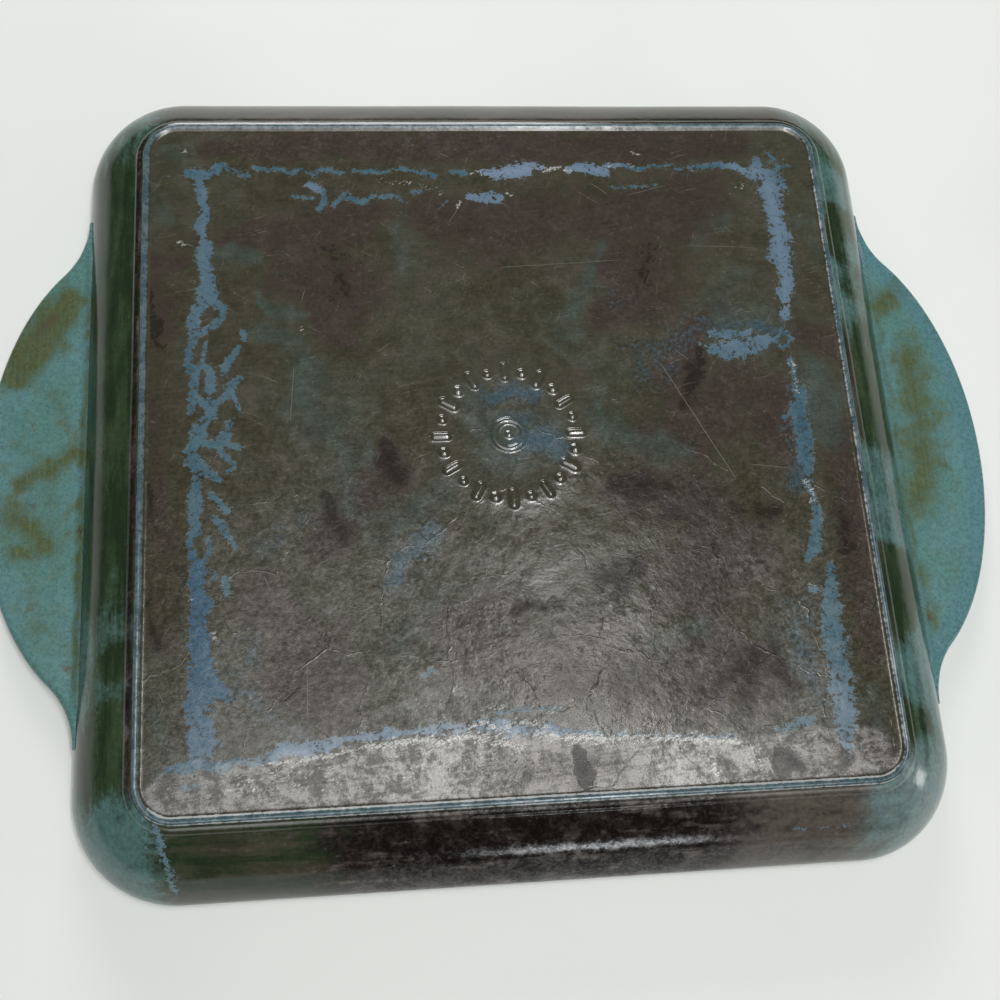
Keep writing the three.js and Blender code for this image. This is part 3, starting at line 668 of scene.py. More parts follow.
def paint(p):
    """The layers that say what covers each point of the pan's outside, and where highlights, sheen and shade are
    painted on it.
    """
    x, y, z = p[:, 0], p[:, 1], p[:, 2]
    t = turned_u(x, y)
    wx = x + 1.6 * (cloud(x, y, 6, 3) - 0.5) + 0.8 * (cloud(x, y, 1.9, 4) - 0.5)
    wy = y + 1.6 * (cloud(x, y, 6, 5) - 0.5) + 0.8 * (cloud(x, y, 1.9, 6) - 0.5)
    flat = (1 - step(t, 101.0, 101.6)) * (z > 22)
    # pale flakes, and painted highlight along the near crease and margin
    pale_and_sheen = strokes(x + 0.4 * (wx - x), y + 0.4 * (wy - y), PALE_AND_SHEEN) * flat
    lilac = strokes(wx, wy, LILAC) * flat
    # the near half of the base, where the lamp's sheen falls; painted sheen: fibre lines, fine mottling, cracks and
    # dark specks are drawn stronger there
    low = step(-y, -25, 55) * flat
    deep = strokes(wx, wy, DEEP) * flat
    worn = strokes(wx, wy, WORN) * flat
    bx, by = x + 7 * (cloud(x, y, 14, 7) - 0.5), y + 7 * (cloud(x, y, 14, 8) - 0.5)
    dim = strokes(bx, by, DIM_BLUE) * flat
    veil = strokes(bx, by, VEIL) * flat
    film = strokes(bx, by, FILM) * flat
    dark = strokes(bx, by, DARK) * flat
    dull = strokes(bx, by, DULL) * flat
    bead = np.exp(-(((t - 102.9) / 0.85) ** 2)) * step(z, 22.6, 23.6)
    wall = step(t, 103.6, 104.3)
    ox, oy = outward(x, y)
    facing = step(-oy, 0.75, 0.97)
    near = facing * step(x, -84, -30) * (1 - 0.6 * step(x, 38, 66))
    # dust on the right of the near wall; on the near right corner the same mask gives a lighter teal that paints the
    # corner's sheen
    dusty_and_sheen = np.maximum(facing * step(x, 20, 60), step(x, 88, 104) * step(-y, 88, 100)) * wall
    earth = (facing * (0.55 + 0.45 * step(x, 20, 60)) + 0.9 * step(oy, 0.6, 0.95)) * wall
    earth = np.maximum(earth, 0.85 * np.exp(-(((t - 105.0) / 2.2) ** 2)) * (0.4 + 0.6 * cloud(x + y, z, 26, 71)) * wall)
    ledge = np.exp(-(((t - 105.2) / 1.4) ** 2)) * step(-ox, 0.6, 0.95)
    soot = np.maximum(near, 0.75 * ledge) * wall
    beyond = np.minimum(np.abs(x), np.abs(y)) - CORNER_AXIS + 12 * (cloud(x - y, z - x, 9, 61) - 0.5)
    round_ = step(beyond, -8, 12) * (0.50 + 0.50 * step(-y, -20, 60))
    patches = step(ox, 0.8, 0.98) * step(cloud(y, z, 26, 9), 0.42, 0.62)
    patches = np.maximum(patches, 0.75 * step(-ox, 0.8, 0.98) * step(-y, 10, 60) * step(cloud(y, z, 22, 19), 0.35, 0.65))
    teal = np.maximum(0.95 * round_, 0.74 * patches) * wall * (1 - 0.5 * soot * (1 - round_))
    # painted highlight: thin light lines along the edges of the bead, on the near side and on the right
    line = (np.exp(-(((t - 101.9) / 0.35) ** 2)) + 0.8 * np.exp(-(((t - 103.75) / 0.22) ** 2))) * step(-oy, 0.5, 0.9)
    line = np.maximum(line, 0.55 * np.exp(-(((t - 102.2) / 0.35) ** 2)) * step(ox, 0.5, 0.9)) * (z > 21)
    # rubbed-through enamel and painted glints on the walls
    streak_and_glint = drawn(p, STREAK_AND_GLINT, 4, 41) * wall
    r = np.hypot(x, y)
    gloss = np.exp(-(((r - RING_RADIUS) / 3.6) ** 2)) + np.exp(-((r / 6.5) ** 2))
    # a band along the near crease, painted lighter in the material: part residue, part painted highlight where the
    # crease catches the lamp
    inside_edge = -y - crease(x, y)
    chalk_and_sheen = step(inside_edge + 6.0 * (cloud(x, y, 7, 14) - 0.5), -2.5, 2.5) * flat * step(-y, 70, 76) * (y < -np.abs(x) + 6)
    return {"pale_and_sheen": pale_and_sheen, "lilac": lilac, "low": low, "gloss": gloss * flat, "chalk_and_sheen": chalk_and_sheen, "worn": worn, "dim": dim, "veil": veil, "film": film, "dark": dark, "bead": bead, "wall": wall,
            "soot": soot, "teal": teal, "streak_and_glint": streak_and_glint, "earth": earth, "line": line, "dull": dull, "deep": deep, "dusty_and_sheen": dusty_and_sheen, "across": step(np.abs(ox), 0.4, 0.9)}


# ------------------------------------------------------------------ materials
class Net:
    """A material's nodes. A value is a number, a colour or a node's output; lengths are in mm."""

    def __init__(self, name):
        self.material = bpy.data.materials.new(name)
        self.material.use_nodes = True
        self.tree = self.material.node_tree
        self.tree.nodes.clear()
        place = self.node("ShaderNodeTexCoord").outputs["Object"]
        self.p = self.vec("SCALE", place, scale=1000.0)

    def node(self, kind, **settings):
        n = self.tree.nodes.new(kind)
        for key, value in settings.items():
            setattr(n, key, value)
        return n

    def feed(self, socket, value):
        if isinstance(value, bpy.types.NodeSocket):
            self.tree.links.new(value, socket)
        elif hasattr(value, "__len__"):
            socket.default_value = (*value, 1.0)[: len(socket.default_value)] if len(value) == 3 else value
        else:
            socket.default_value = value

    def math(self, operation, *values, clamp=False):
        n = self.node("ShaderNodeMath", operation=operation, use_clamp=clamp)
        for socket, value in zip(n.inputs, values):
            self.feed(socket, value)
        return n.outputs[0]

    def vec(self, operation, *values, scale=None):
        n = self.node("ShaderNodeVectorMath", operation=operation)
        for socket, value in zip(n.inputs, values):
            self.feed(socket, value)
        if scale is not None:
            self.feed(n.inputs["Scale"], scale)
        return n.outputs["Value" if operation in ("DOT_PRODUCT", "LENGTH", "DISTANCE") else "Vector"]

    def add(self, a, b):
        return self.math("ADD", a, b)

    def sub(self, a, b):
        return self.math("SUBTRACT", a, b)

    def mul(self, a, b, clamp=False):
        return self.math("MULTIPLY", a, b, clamp=clamp)

    def fma(self, a, b, c):
        return self.math("MULTIPLY_ADD", a, b, c)

    def least(self, a, b):
        return self.math("MINIMUM", a, b)

    def most(self, a, b):
        return self.math("MAXIMUM", a, b)

    def no(self, a):
        return self.math("SUBTRACT", 1.0, a)

    def smooth(self, x, lo, hi, out_lo=0.0, out_hi=1.0):
        n = self.node("ShaderNodeMapRange", interpolation_type="SMOOTHSTEP")
        for key, value in (("Value", x), ("From Min", lo), ("From Max", hi), ("To Min", out_lo), ("To Max", out_hi)):
            self.feed(n.inputs[key], value)
        return n.outputs["Result"]

    def line(self, x, lo, hi, out_lo=0.0, out_hi=1.0):
        n = self.node("ShaderNodeMapRange", interpolation_type="LINEAR")
        for key, value in (("Value", x), ("From Min", lo), ("From Max", hi), ("To Min", out_lo), ("To Max", out_hi)):
            self.feed(n.inputs[key], value)
        return n.outputs["Result"]

    def mix(self, share, a, b, how="MIX"):
        n = self.node("ShaderNodeMix", data_type="RGBA", blend_type=how)
        self.feed(n.inputs[0], share)
        self.feed(n.inputs[6], a)
        self.feed(n.inputs[7], b)
        return n.outputs[2]

    def layer(self, name):
        return self.node("ShaderNodeAttribute", attribute_name=name).outputs["Fac"]

    def stretched(self, angle, long, wide, where=None):
        """Coordinates counted in lengths along a direction in the level plane and widths across it."""
        n = self.node("ShaderNodeMapping", vector_type="TEXTURE")
        self.feed(n.inputs["Vector"], self.p if where is None else where)
        n.inputs["Rotation"].default_value = (0, 0, math.radians(angle))
        n.inputs["Scale"].default_value = (long, wide, wide)
        return n.outputs["Vector"]

    def noise(self, cell, detail=3.0, rough=0.55, bend=0.0, at=0.0, where=None):
        spot = self.p if where is None else where
        if at:
            spot = self.vec("ADD", spot, (at * 17.3, at * 9.1, at * 5.7))
        n = self.node("ShaderNodeTexNoise", noise_dimensions="3D")
        self.feed(n.inputs["Vector"], spot)
        for key, value in (("Scale", 1.0 / cell), ("Detail", detail), ("Roughness", rough), ("Distortion", bend)):
            self.feed(n.inputs[key], value)
        return n.outputs[0]

    def cells(self, where, feature="F1"):
        n = self.node("ShaderNodeTexVoronoi", voronoi_dimensions="2D", feature=feature)
        self.feed(n.inputs["Vector"], where)
        self.feed(n.inputs["Scale"], 1.0)
        return n.outputs["Distance"], n.outputs.get("Color")

    def scratches(self, angle, long, wide, share, where, thick=0.16):
        """Fine tapering lines: in a share of long narrow cells, a sliver round the cell's point."""
        away, chance = self.cells(self.stretched(angle, long, wide, where))
        parts = self.node("ShaderNodeSeparateColor")
        self.feed(parts.inputs[0], chance)
        there = self.math("LESS_THAN", parts.outputs[0], share)
        depth = self.line(parts.outputs[1], 0, 1, 0.35, 1.0)
        return self.mul(self.mul(self.smooth(away, thick, thick * 0.3), there), depth)

    def cut(self, a, b, width, where):
        """One straight scratch between two places in the level plane."""
        d = np.subtract(b, a)
        length = float(np.hypot(*d))
        d = d / length
        flat = self.vec("SUBTRACT", where, (float(a[0]), float(a[1]), 0.0))
        along = self.vec("DOT_PRODUCT", flat, (float(d[0]), float(d[1]), 0.0))
        across = self.vec("DOT_PRODUCT", flat, (float(-d[1]), float(d[0]), 0.0))
        over = self.math("ABSOLUTE", self.fma(along, 1.0, -length / 2))
        ends = self.smooth(over, length / 2, length / 2 - min(4.0, length * 0.3))
        return self.mul(self.smooth(self.math("ABSOLUTE", across), width, width * 0.25), ends)

    def finish(self, colour, roughness, height, depth, specular=0.5):
        """Surface from a colour, a roughness and a height in units of depth mm."""
        bump = self.node("ShaderNodeBump")
        bump.inputs["Strength"].default_value = 1.0
        bump.inputs["Distance"].default_value = depth * MM
        self.feed(bump.inputs["Height"], height)
        shader = self.node("ShaderNodeBsdfPrincipled")
        shader.inputs["IOR"].default_value = 1.6
        self.feed(shader.inputs["Specular IOR Level"], specular)
        self.feed(shader.inputs["Base Color"], colour)
        self.feed(shader.inputs["Roughness"], roughness)
        self.feed(shader.inputs["Normal"], bump.outputs["Normal"])
        out = self.node("ShaderNodeOutputMaterial")
        self.tree.links.new(shader.outputs[0], out.inputs["Surface"])
        return self.material


def pan_enamel():
    n = Net("pan_enamel")
    worn, dim, veil, film, dark = (n.layer(k) for k in ("worn", "dim", "veil", "film", "dark"))
    bead, wall, gloss, chalk_and_sheen = (n.layer(k) for k in ("bead", "wall", "gloss", "chalk_and_sheen"))
    flake_and_sheen, lilac, low, soot = (n.layer(k) for k in ("pale_and_sheen", "lilac", "low", "soot"))
    warp = n.vec("ADD", n.p, n.vec("SCALE", n.noise_vector(10, 5), scale=9.0))
    big = n.line(n.noise(22, 2, 0.5, at=1), 0, 1, -1.3, 1.3)
    broad = n.line(n.noise(12, 6, 0.6, at=24, where=warp), 0, 1, -1.4, 1.4)
    mid = n.line(n.noise(5.2, 5, 0.62, at=2, where=warp), 0, 1, -1.4, 1.4)
    raw = n.noise(1.15, 3, 0.65, at=3)
    fine = n.line(raw, 0, 1, -1.4, 1.4)
    speckle = n.noise(0.42, 1, 0.5, at=4)
    grain = n.line(speckle, 0, 1, -1.4, 1.4)
    wiped = n.line(n.noise(1.0, 4, 0.65, at=25, where=n.stretched(4, 9.0, 0.6)), 0, 1, -1.2, 1.2)

    # residue and enamel of the base, with painted sheen on the near half and painted highlight along the near crease
    olive = n.mix(n.smooth(n.fma(broad, 0.6, big), -0.3, 0.3), (0.040, 0.037, 0.021), (0.050, 0.048, 0.032))
    brown = n.mix(n.smooth(n.fma(big, 0.6, mid), -0.35, 0.35), (0.042, 0.0300, 0.0245), (0.038, 0.0275, 0.0205))
    much = n.smooth(n.add(n.fma(broad, 0.5, film), n.fma(mid, 0.35, n.mul(fine, 0.16))), 0.10, 0.66)
    ground = n.mix(much, olive, brown)
    green = n.mul(n.smooth(n.add(n.fma(broad, -0.45, veil), n.fma(mid, 0.32, n.mul(fine, -0.2))), 0.18, 0.86), 0.7)
    ground = n.mix(green, ground, (0.044, 0.064, 0.053))
    blueish = n.mul(n.smooth(n.add(n.fma(mid, -0.4, dim), n.fma(fine, 0.5, n.mul(grain, 0.2))), 0.25, 0.95), 0.85)
    ground = n.mix(blueish, ground, (0.044, 0.084, 0.112))
    light = n.mul(n.smooth(n.add(n.mul(mid, -1.0), n.mul(fine, 0.3)), 0.22, 0.5), 0.45)
    ground = n.mix(n.mul(light, 0.55), ground, (0.060, 0.064, 0.048))
    # painted sheen: the fine mottling is stronger on the near half
    shade = n.add(n.mul(fine, n.line(low, 0, 1, 0.35, 1.0)), n.fma(mid, 0.5, n.mul(wiped, 0.45)))
    ground = n.mix(1.0, ground, n.line(shade, -0.7, 0.7, 0.60, 1.45), "MULTIPLY")
    gravel = n.smooth(n.add(n.fma(fine, 0.5, n.mul(grain, 0.25)), n.fma(mid, 1.25, n.mul(wiped, 0.5))), -0.42, 0.48)
    # the band along the near crease is painted light grey: part residue, part painted highlight of the crease
    ground = n.mix(n.mul(chalk_and_sheen, 0.7), ground, n.mix(gravel, (0.046, 0.039, 0.036), (0.176, 0.159, 0.153)))
    bent = n.vec("ADD", n.p, n.vec("SCALE", n.noise_vector(6, 33), scale=5.0))
    seam, _ = n.cells(n.vec("SCALE", bent, scale=1 / 21.0), "DISTANCE_TO_EDGE")
    # painted sheen: the cracks show stronger on the near half
    seam = n.mul(n.mul(n.smooth(seam, 0.014, 0.004), n.smooth(n.add(mid, broad), -0.1, 0.3)), n.line(low, 0, 1, 0.25, 1.0))
    ground = n.mix(n.mul(seam, 0.55), ground, (0.014, 0.011, 0.009))
    stain = n.smooth(n.add(n.fma(dark, 0.95, n.mul(mid, 0.5)), n.fma(broad, 0.25, n.mul(fine, 0.3))), 0.34, 0.56)
    ground = n.mix(n.mul(stain, 0.75), ground, (0.013, 0.0095, 0.007))
    # painted sheen: dark specks stronger on the near half
    ground = n.mix(n.mul(n.smooth(grain, -0.30, -0.45), n.line(low, 0, 1, 0.25, 0.6)), ground, (0.008, 0.007, 0.006))

    # bare blue enamel where the base has rubbed, with a scuffed fringe
    torn = n.line(n.noise(1.0, 3, 0.7, at=26, where=n.stretched(22, 2.2, 0.55)), 0, 1, -1.3, 1.3)
    around = n.smooth(worn, 0.03, 0.22)
    jagged = n.noise(1.0, 3, 0.7, at=6, where=n.stretched(3, 2.2, 0.75))
    ragged = n.add(n.add(n.mul(mid, 0.24), n.mul(fine, 0.24)), n.add(n.mul(grain, 0.08), n.line(jagged, 0, 1, -0.42, 0.42)))
    edge = n.add(worn, n.mul(ragged, around))
    holes = n.mul(n.smooth(n.add(n.mul(fine, 0.8), n.add(n.mul(mid, 0.45), n.mul(torn, 0.35))), -0.22, -0.5), n.no(n.layer("deep")))
    edge = n.sub(edge, n.mul(holes, 0.34))
    bare = n.smooth(edge, 0.50, 0.57)
    fringe = n.mul(n.mul(n.smooth(edge, 0.22, 0.48), around), n.smooth(n.add(fine, n.mul(grain, 0.8)), -0.15, 0.4))
    colour = n.mix(n.mul(fringe, 0.5), ground, (0.072, 0.084, 0.080))
    blue = n.mix(n.smooth(mid, -0.4, 0.4), (0.028, 0.080, 0.112), (0.048, 0.106, 0.136))
    blue = n.mix(n.smooth(n.layer("deep"), 0.1, 0.8), blue, (0.014, 0.064, 0.114))
    blue = n.mix(lilac, blue, (0.165, 0.225, 0.320))
    blue = n.mix(n.mul(n.smooth(n.add(grain, fine), 0.15, 0.6), 0.2), blue, (0.150, 0.205, 0.240))
    blue = n.mix(n.mul(n.smooth(n.add(fine, n.mul(mid, 0.5)), -0.16, -0.42), 0.7), blue, (0.034, 0.040, 0.032))
    colour = n.mix(bare, colour, blue)
    # pale flakes and chips, and along the near margin a painted highlight
    flaked_and_sheen = n.smooth(n.add(n.fma(fine, 0.35, flake_and_sheen), n.fma(grain, 0.12, n.mul(torn, 0.75))), 0.60, 0.76)
    flaked_and_sheen = n.mul(flaked_and_sheen, n.smooth(flake_and_sheen, 0.05, 0.25))
    colour = n.mix(n.mul(flaked_and_sheen, 0.8), colour, n.mix(n.smooth(grain, -0.3, 0.3), (0.190, 0.195, 0.180), (0.46, 0.465, 0.45)))

    # fine scratches
    slight = n.vec("ADD", n.p, n.vec("SCALE", n.noise_vector(14, 8), scale=4.0))
    lines = n.scratches(14, 26.0, 0.8, 0.16, slight, 0.2)
    lines = n.most(lines, n.scratches(68, 20.0, 0.8, 0.14, slight, 0.19))
    lines = n.most(lines, n.scratches(-35, 22.0, 0.8, 0.15, slight, 0.19))
    nicks = n.most(n.scratches(24, 4.2, 0.9, 0.05, slight, 0.2), n.scratches(-58, 3.4, 0.8, 0.05, slight, 0.2))
    # painted sheen: pale fibre lines only on the near half, where scratches catch the lamp
    fibre_and_sheen = n.most(n.scratches(40, 6.0, 0.55, 0.4, slight, 0.33), n.scratches(-12, 7.0, 0.55, 0.4, slight, 0.33))
    fibre_and_sheen = n.mul(fibre_and_sheen, n.mul(low, n.smooth(n.add(mid, fine), -0.3, 0.4)))
    special = None
    shaky = n.vec("ADD", n.p, n.vec("SCALE", n.noise_vector(4, 7), scale=0.35))
    for (a, b), width in SCRATCHES:
        one = n.cut(on([a])[0], on([b])[0], width, shaky)
        special = one if special is None else n.most(special, one)
    lines = n.mul(n.most(n.mul(n.most(lines, nicks), n.smooth(n.add(fine, mid), -0.3, 0.5, 0.05, 0.75)), special), n.line(wall, 0, 1, 1.0, 0.35))
    colour = n.mix(n.mul(fibre_and_sheen, 0.36), colour, (0.155, 0.145, 0.132))
    colour = n.mix(n.mul(lines, 0.65), colour, (0.185, 0.175, 0.145))

    # the bead is rubbed along its crest
    crest = n.smooth(n.add(bead, n.add(n.mul(fine, 0.25), n.mul(mid, 0.25))), 0.22, 0.46)
    crest_colour = n.mix(n.smooth(n.add(mid, n.mul(fine, 0.6)), -0.35, 0.4), (0.044, 0.086, 0.106), (0.092, 0.138, 0.155))
    crest_colour = n.mix(n.mul(n.smooth(n.add(fine, grain), -0.2, -0.6), 0.8), crest_colour, (0.030, 0.036, 0.030))
    colour = n.mix(n.mul(crest, n.smooth(bead, 0.08, 0.4)), colour, crest_colour)

    # painted highlight: light lines along the bead's edges, where they catch the light
    painted_bead_glint = n.smooth(n.add(n.layer("line"), n.add(n.mul(fine, 0.5), n.mul(mid, 0.35))), 0.35, 0.75)
    colour = n.mix(n.mul(n.mul(painted_bead_glint, n.smooth(n.layer("line"), 0.05, 0.4)), 0.9), colour, (0.400, 0.412, 0.412))

    # walls
    run_x = n.noise(1.0, 4, 0.6, at=27, where=n.stretched(0, 22.0, 3.6))
    run_y = n.noise(1.0, 4, 0.6, at=28, where=n.stretched(90, 22.0, 3.6))
    run = n.line(n.mix_value(n.layer("across"), run_x, run_y), 0, 1, -1.4, 1.4)
    side = n.mix(n.smooth(n.add(n.mul(run, 1.3), n.mul(big, 0.5)), -0.5, 0.5), (0.0095, 0.025, 0.007), (0.024, 0.046, 0.018))
    tar = n.mix(n.smooth(n.add(mid, n.mul(fine, 0.5)), -0.2, 0.5), (0.0075, 0.0046, 0.0038), (0.016, 0.0112, 0.0090))
    hazy = n.smooth(n.add(n.mul(run, 1.0), n.fma(mid, 0.45, n.mul(fine, 0.12))), 0.02, 0.66)
    tar = n.mix(n.mul(hazy, 0.85), tar, (0.074, 0.061, 0.054))
    soil = n.mix(n.smooth(n.add(run, big), -0.5, 0.5), (0.020, 0.017, 0.009), (0.042, 0.036, 0.024))
    soil = n.mix(n.layer("dusty_and_sheen"), soil, (0.082, 0.071, 0.057))
    side = n.mix(n.smooth(n.add(n.layer("earth"), n.add(n.mul(run, 0.6), n.mul(fine, 0.15))), 0.2, 0.9), side, soil)
    side = n.mix(n.smooth(n.add(soot, n.mul(mid, 0.5)), 0.3, 0.75), side, tar)
    side = n.mix(n.smooth(n.add(n.layer("teal"), n.add(n.fma(run, 0.4, n.mul(mid, 0.2)), n.mul(fine, 0.15))), 0.18, 0.88), side, (0.064, 0.132, 0.124))
    # lighter teal on the near right corner: dust and painted sheen
    side = n.mix(n.mul(n.mul(n.layer("dusty_and_sheen"), n.layer("teal")), 0.85), side, (0.150, 0.205, 0.200))
    side = n.mix(1.0, side, n.line(n.add(n.mul(fine, 0.8), n.fma(mid, 0.5, n.mul(run, 0.6))), -0.7, 0.7, 0.66, 1.36), "MULTIPLY")
    # lighter chips on the walls, with painted glints
    chips_and_glints = n.smooth(n.add(n.layer("streak_and_glint"), n.add(n.mul(fine, 0.9), n.mul(grain, 0.5))), 0.62, 0.85)
    side = n.mix(chips_and_glints, side, (0.10, 0.17, 0.20))
    colour = n.mix(n.mul(wall, n.no(n.mul(painted_bead_glint, n.smooth(n.layer("line"), 0.2, 0.6)))), colour, n.mix(n.mul(lines, 0.5), side, (0.10, 0.12, 0.09)))

    rough = n.line(n.fma(fine, 0.6, mid), -0.55, 0.55, 0.13, 0.25)
    rough = n.mix_value(chalk_and_sheen, rough, n.line(n.fma(fine, 0.8, mid), -0.5, 0.5, 0.16, 0.30))
    rough = n.mix_value(bare, rough, 0.27)
    rough = n.mix_value(n.mul(gloss, 0.85), rough, 0.12)
    rough = n.mix_value(crest, rough, 0.18)
    rough = n.mix_value(wall, rough, n.line(n.fma(fine, 0.5, mid), -0.5, 0.5, 0.11, 0.20))
    height = n.add(n.mul(raw, n.line(low, 0, 1, 0.24, 0.32)), n.mul(speckle, n.line(low, 0, 1, 0.10, 0.16)))
    height = n.mul(height, n.no(n.mul(gloss, 0.45)))
    height = n.add(height, n.mul(n.noise(4.5, 2, 0.5, at=9), 1.0))
    height = n.mul(height, n.line(wall, 0, 1, 1.0, 0.4))
    height = n.add(height, n.mul(bare, -0.12))
    height = n.add(height, n.mul(n.mul(seam, n.no(bare)), 0.35))
    shine = n.line(n.fma(fine, 0.9, n.fma(mid, 0.7, n.mul(broad, 0.8))), -0.75, 0.75, 0.20, 0.58)
    shine = n.mix_value(n.mul(chalk_and_sheen, 0.8), shine, n.line(gravel, 0, 1, 0.32, 0.80))
    shine = n.mix_value(n.mul(stain, 0.8), shine, 0.16)
    shine = n.mul(shine, n.line(n.layer("dull"), 0, 1, 1.0, 0.35))
    shine = n.mix_value(wall, shine, 0.5)
    shine = n.mix_value(gloss, shine, 0.72)
    shine = n.mix_value(n.mul(soot, 0.85), shine, n.line(n.add(n.fma(fine, 1.0, mid), n.mul(grain, 0.5)), -0.35, 0.55, 0.03, 0.46))
    return n.finish(colour, rough, height, 0.1, shine)


def handle_enamel():
    n = Net("handle_enamel")
    rust, olive, rim = n.layer("rust"), n.layer("olive"), n.layer("rim")
    warp = n.vec("ADD", n.p, n.vec("SCALE", n.noise_vector(10, 16), scale=5.0))
    big = n.line(n.noise(22, 2, 0.5, at=11), 0, 1, -1.3, 1.3)
    mid = n.line(n.noise(5.0, 5, 0.62, at=12, where=warp), 0, 1, -1.4, 1.4)
    raw = n.noise(1.1, 3, 0.65, at=13)
    fine = n.line(raw, 0, 1, -1.4, 1.4)
    speckle = n.noise(0.4, 1, 0.5, at=14)
    grain = n.line(speckle, 0, 1, -1.4, 1.4)
    colour = n.mix(n.smooth(big, -0.35, 0.35), (0.076, 0.186, 0.172), (0.088, 0.205, 0.216))
    colour = n.mix(n.mul(n.smooth(mid, 0.0, 0.5), 0.45), colour, (0.080, 0.128, 0.088))
    colour = n.mix(n.mul(n.smooth(n.add(mid, n.mul(fine, 0.5)), -0.25, -0.65), 0.5), colour, (0.082, 0.205, 0.195))
    lengthwise = n.line(n.noise(1.0, 3, 0.7, at=15, where=n.stretched(90, 16.0, 0.7)), 0, 1, -1.4, 1.4)
    # olive stains, with painted shade along the creases at the wall
    spread = n.smooth(n.add(olive, n.add(n.mul(mid, 0.42), n.mul(fine, 0.2))), 0.15, 1.0)
    colour = n.mix(n.mul(spread, 0.92), colour, n.mix(n.smooth(lengthwise, -0.2, 0.4), (0.060, 0.070, 0.014), (0.072, 0.106, 0.044)))
    colour = n.mix(n.mul(n.smooth(rim, 0.2, 0.9), 0.5), colour, (0.066, 0.175, 0.215))
    brown = n.smooth(n.add(rust, n.add(n.mul(fine, 0.6), n.mul(mid, 0.35))), 0.42, 0.85)
    colour = n.mix(n.mul(brown, 0.85), colour, (0.052, 0.027, 0.010))
    colour = n.mix(1.0, colour, n.line(n.add(fine, n.mul(mid, 0.4)), -0.6, 0.6, 0.80, 1.20), "MULTIPLY")
    slight = n.vec("ADD", n.p, n.vec("SCALE", n.noise_vector(12, 18), scale=3.0))
    lines = n.most(n.scratches(84, 24.0, 0.6, 0.12, slight), n.scratches(24, 18.0, 0.5, 0.08, slight))
    colour = n.mix(n.mul(lines, 0.35), colour, (0.13, 0.22, 0.20))
    colour = n.mix(n.mul(n.smooth(grain, -0.30, -0.42), 0.5), colour, (0.022, 0.026, 0.014))
    rough = n.add(n.line(fine, -0.5, 0.5, 0.22, 0.34), n.mul(brown, 0.15))
    height = n.add(n.add(n.mul(raw, 0.45), n.mul(speckle, 0.25)), n.mul(n.noise(5, 2, 0.5, at=17), 1.6))
    return n.finish(colour, rough, height, 0.1)


def cooking_enamel():
    n = Net("cooking_enamel")
    n2 = n.noise(7, 5, 0.6, at=21)
    n3 = n.noise(0.9, 4, 0.6, at=22)
    n4 = n.noise(0.28, 2, 0.5, at=23)
    colour = n.mix(n.smooth(n2, 0.4, 0.7), (0.010, 0.0095, 0.009), (0.024, 0.017, 0.012))
    colour = n.mix(n.mul(n.smooth(n3, 0.55, 0.75), 0.4), colour, (0.035, 0.026, 0.018))
    rough = n.line(n2, 0.3, 0.7, 0.5, 0.68)
    height = n.add(n.mul(n3, 0.6), n.mul(n4, 0.5))
    return n.finish(colour, rough, height, 0.05, 0.4)


def noise_vector(self, cell, at):
    """Random shift, each part from -0.5 to 0.5."""
    spot = self.vec("ADD", self.p, (at * 17.3, at * 9.1, at * 5.7))
    n = self.node("ShaderNodeTexNoise", noise_dimensions="3D")
    self.feed(n.inputs["Vector"], spot)
    for key, value in (("Scale", 1.0 / cell), ("Detail", 2.0), ("Roughness", 0.5)):
        self.feed(n.inputs[key], value)
    return self.vec("SUBTRACT", n.outputs["Color"], (0.5, 0.5, 0.5))


def mix_value(self, share, a, b):
    n = self.node("ShaderNodeMix", data_type="FLOAT")
    self.feed(n.inputs[0], share)
    self.feed(n.inputs[2], a)
    self.feed(n.inputs[3], b)
    return n.outputs[0]


Net.noise_vector, Net.mix_value = noise_vector, mix_value


# ------------------------------------------------------------------ pieces
pan_coat, handle_coat, cooking_coat = pan_enamel(), handle_enamel(), cooking_enamel()


def settle(piece, slot, *nodes):
    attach(piece, "root")
    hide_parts(*nodes)
    return piece


def grid_faces(nr, nc, closed=False):
    """Quads of a grid of nr rows by nc columns, facing the way that row x column turns."""
    i, j = np.meshgrid(np.arange(nr - 1), np.arange(nc - 1), indexing="ij")
    a = i * nc + j
    return np.stack([a, a + nc, a + nc + 1, a + 1], -1).reshape(-1, 4).tolist()


# the base
line = np.concatenate([np.linspace(-93, -26, 148), np.linspace(-26, 26, 145)[1:], np.linspace(26, 93, 148)[1:]])
m = len(line)
bx, by = np.meshgrid(line, line, indexing="ij")
top = np.stack([bx, by, base_z(bx, by)], -1).reshape(-1, 3)
tops = base_normal(bx, by).reshape(-1, 3)
under = np.array([[-93, -93, FLOOR_Z], [93, -93, FLOOR_Z], [93, 93, FLOOR_Z], [-93, 93, FLOOR_Z]])
points = np.vstack([top, under])
faces = grid_faces(m, m)
slots = [0] * len(faces)
q = m * m
rim = lambda i, j: i * m + j
faces += [
    [q, q + 1] + [rim(i, 0) for i in range(m - 1, -1, -1)],
    [q + 1, q + 2] + [rim(m - 1, j) for j in range(m - 1, -1, -1)],
    [q + 2, q + 3] + [rim(i, m - 1) for i in range(m)],
    [q + 3, q] + [rim(0, j) for j in range(m)],
    [q + 3, q + 2, q + 1, q],
]
slots += [-1, -1, -1, -1, -2]
normals = np.vstack([tops, np.tile([0, 0, -1.0], (4, 1))])
base = make("pan_base", points, faces, normals, slots, paint(points), [pan_coat, cooking_coat])
settle(base, "base_enamel", "base_plate")

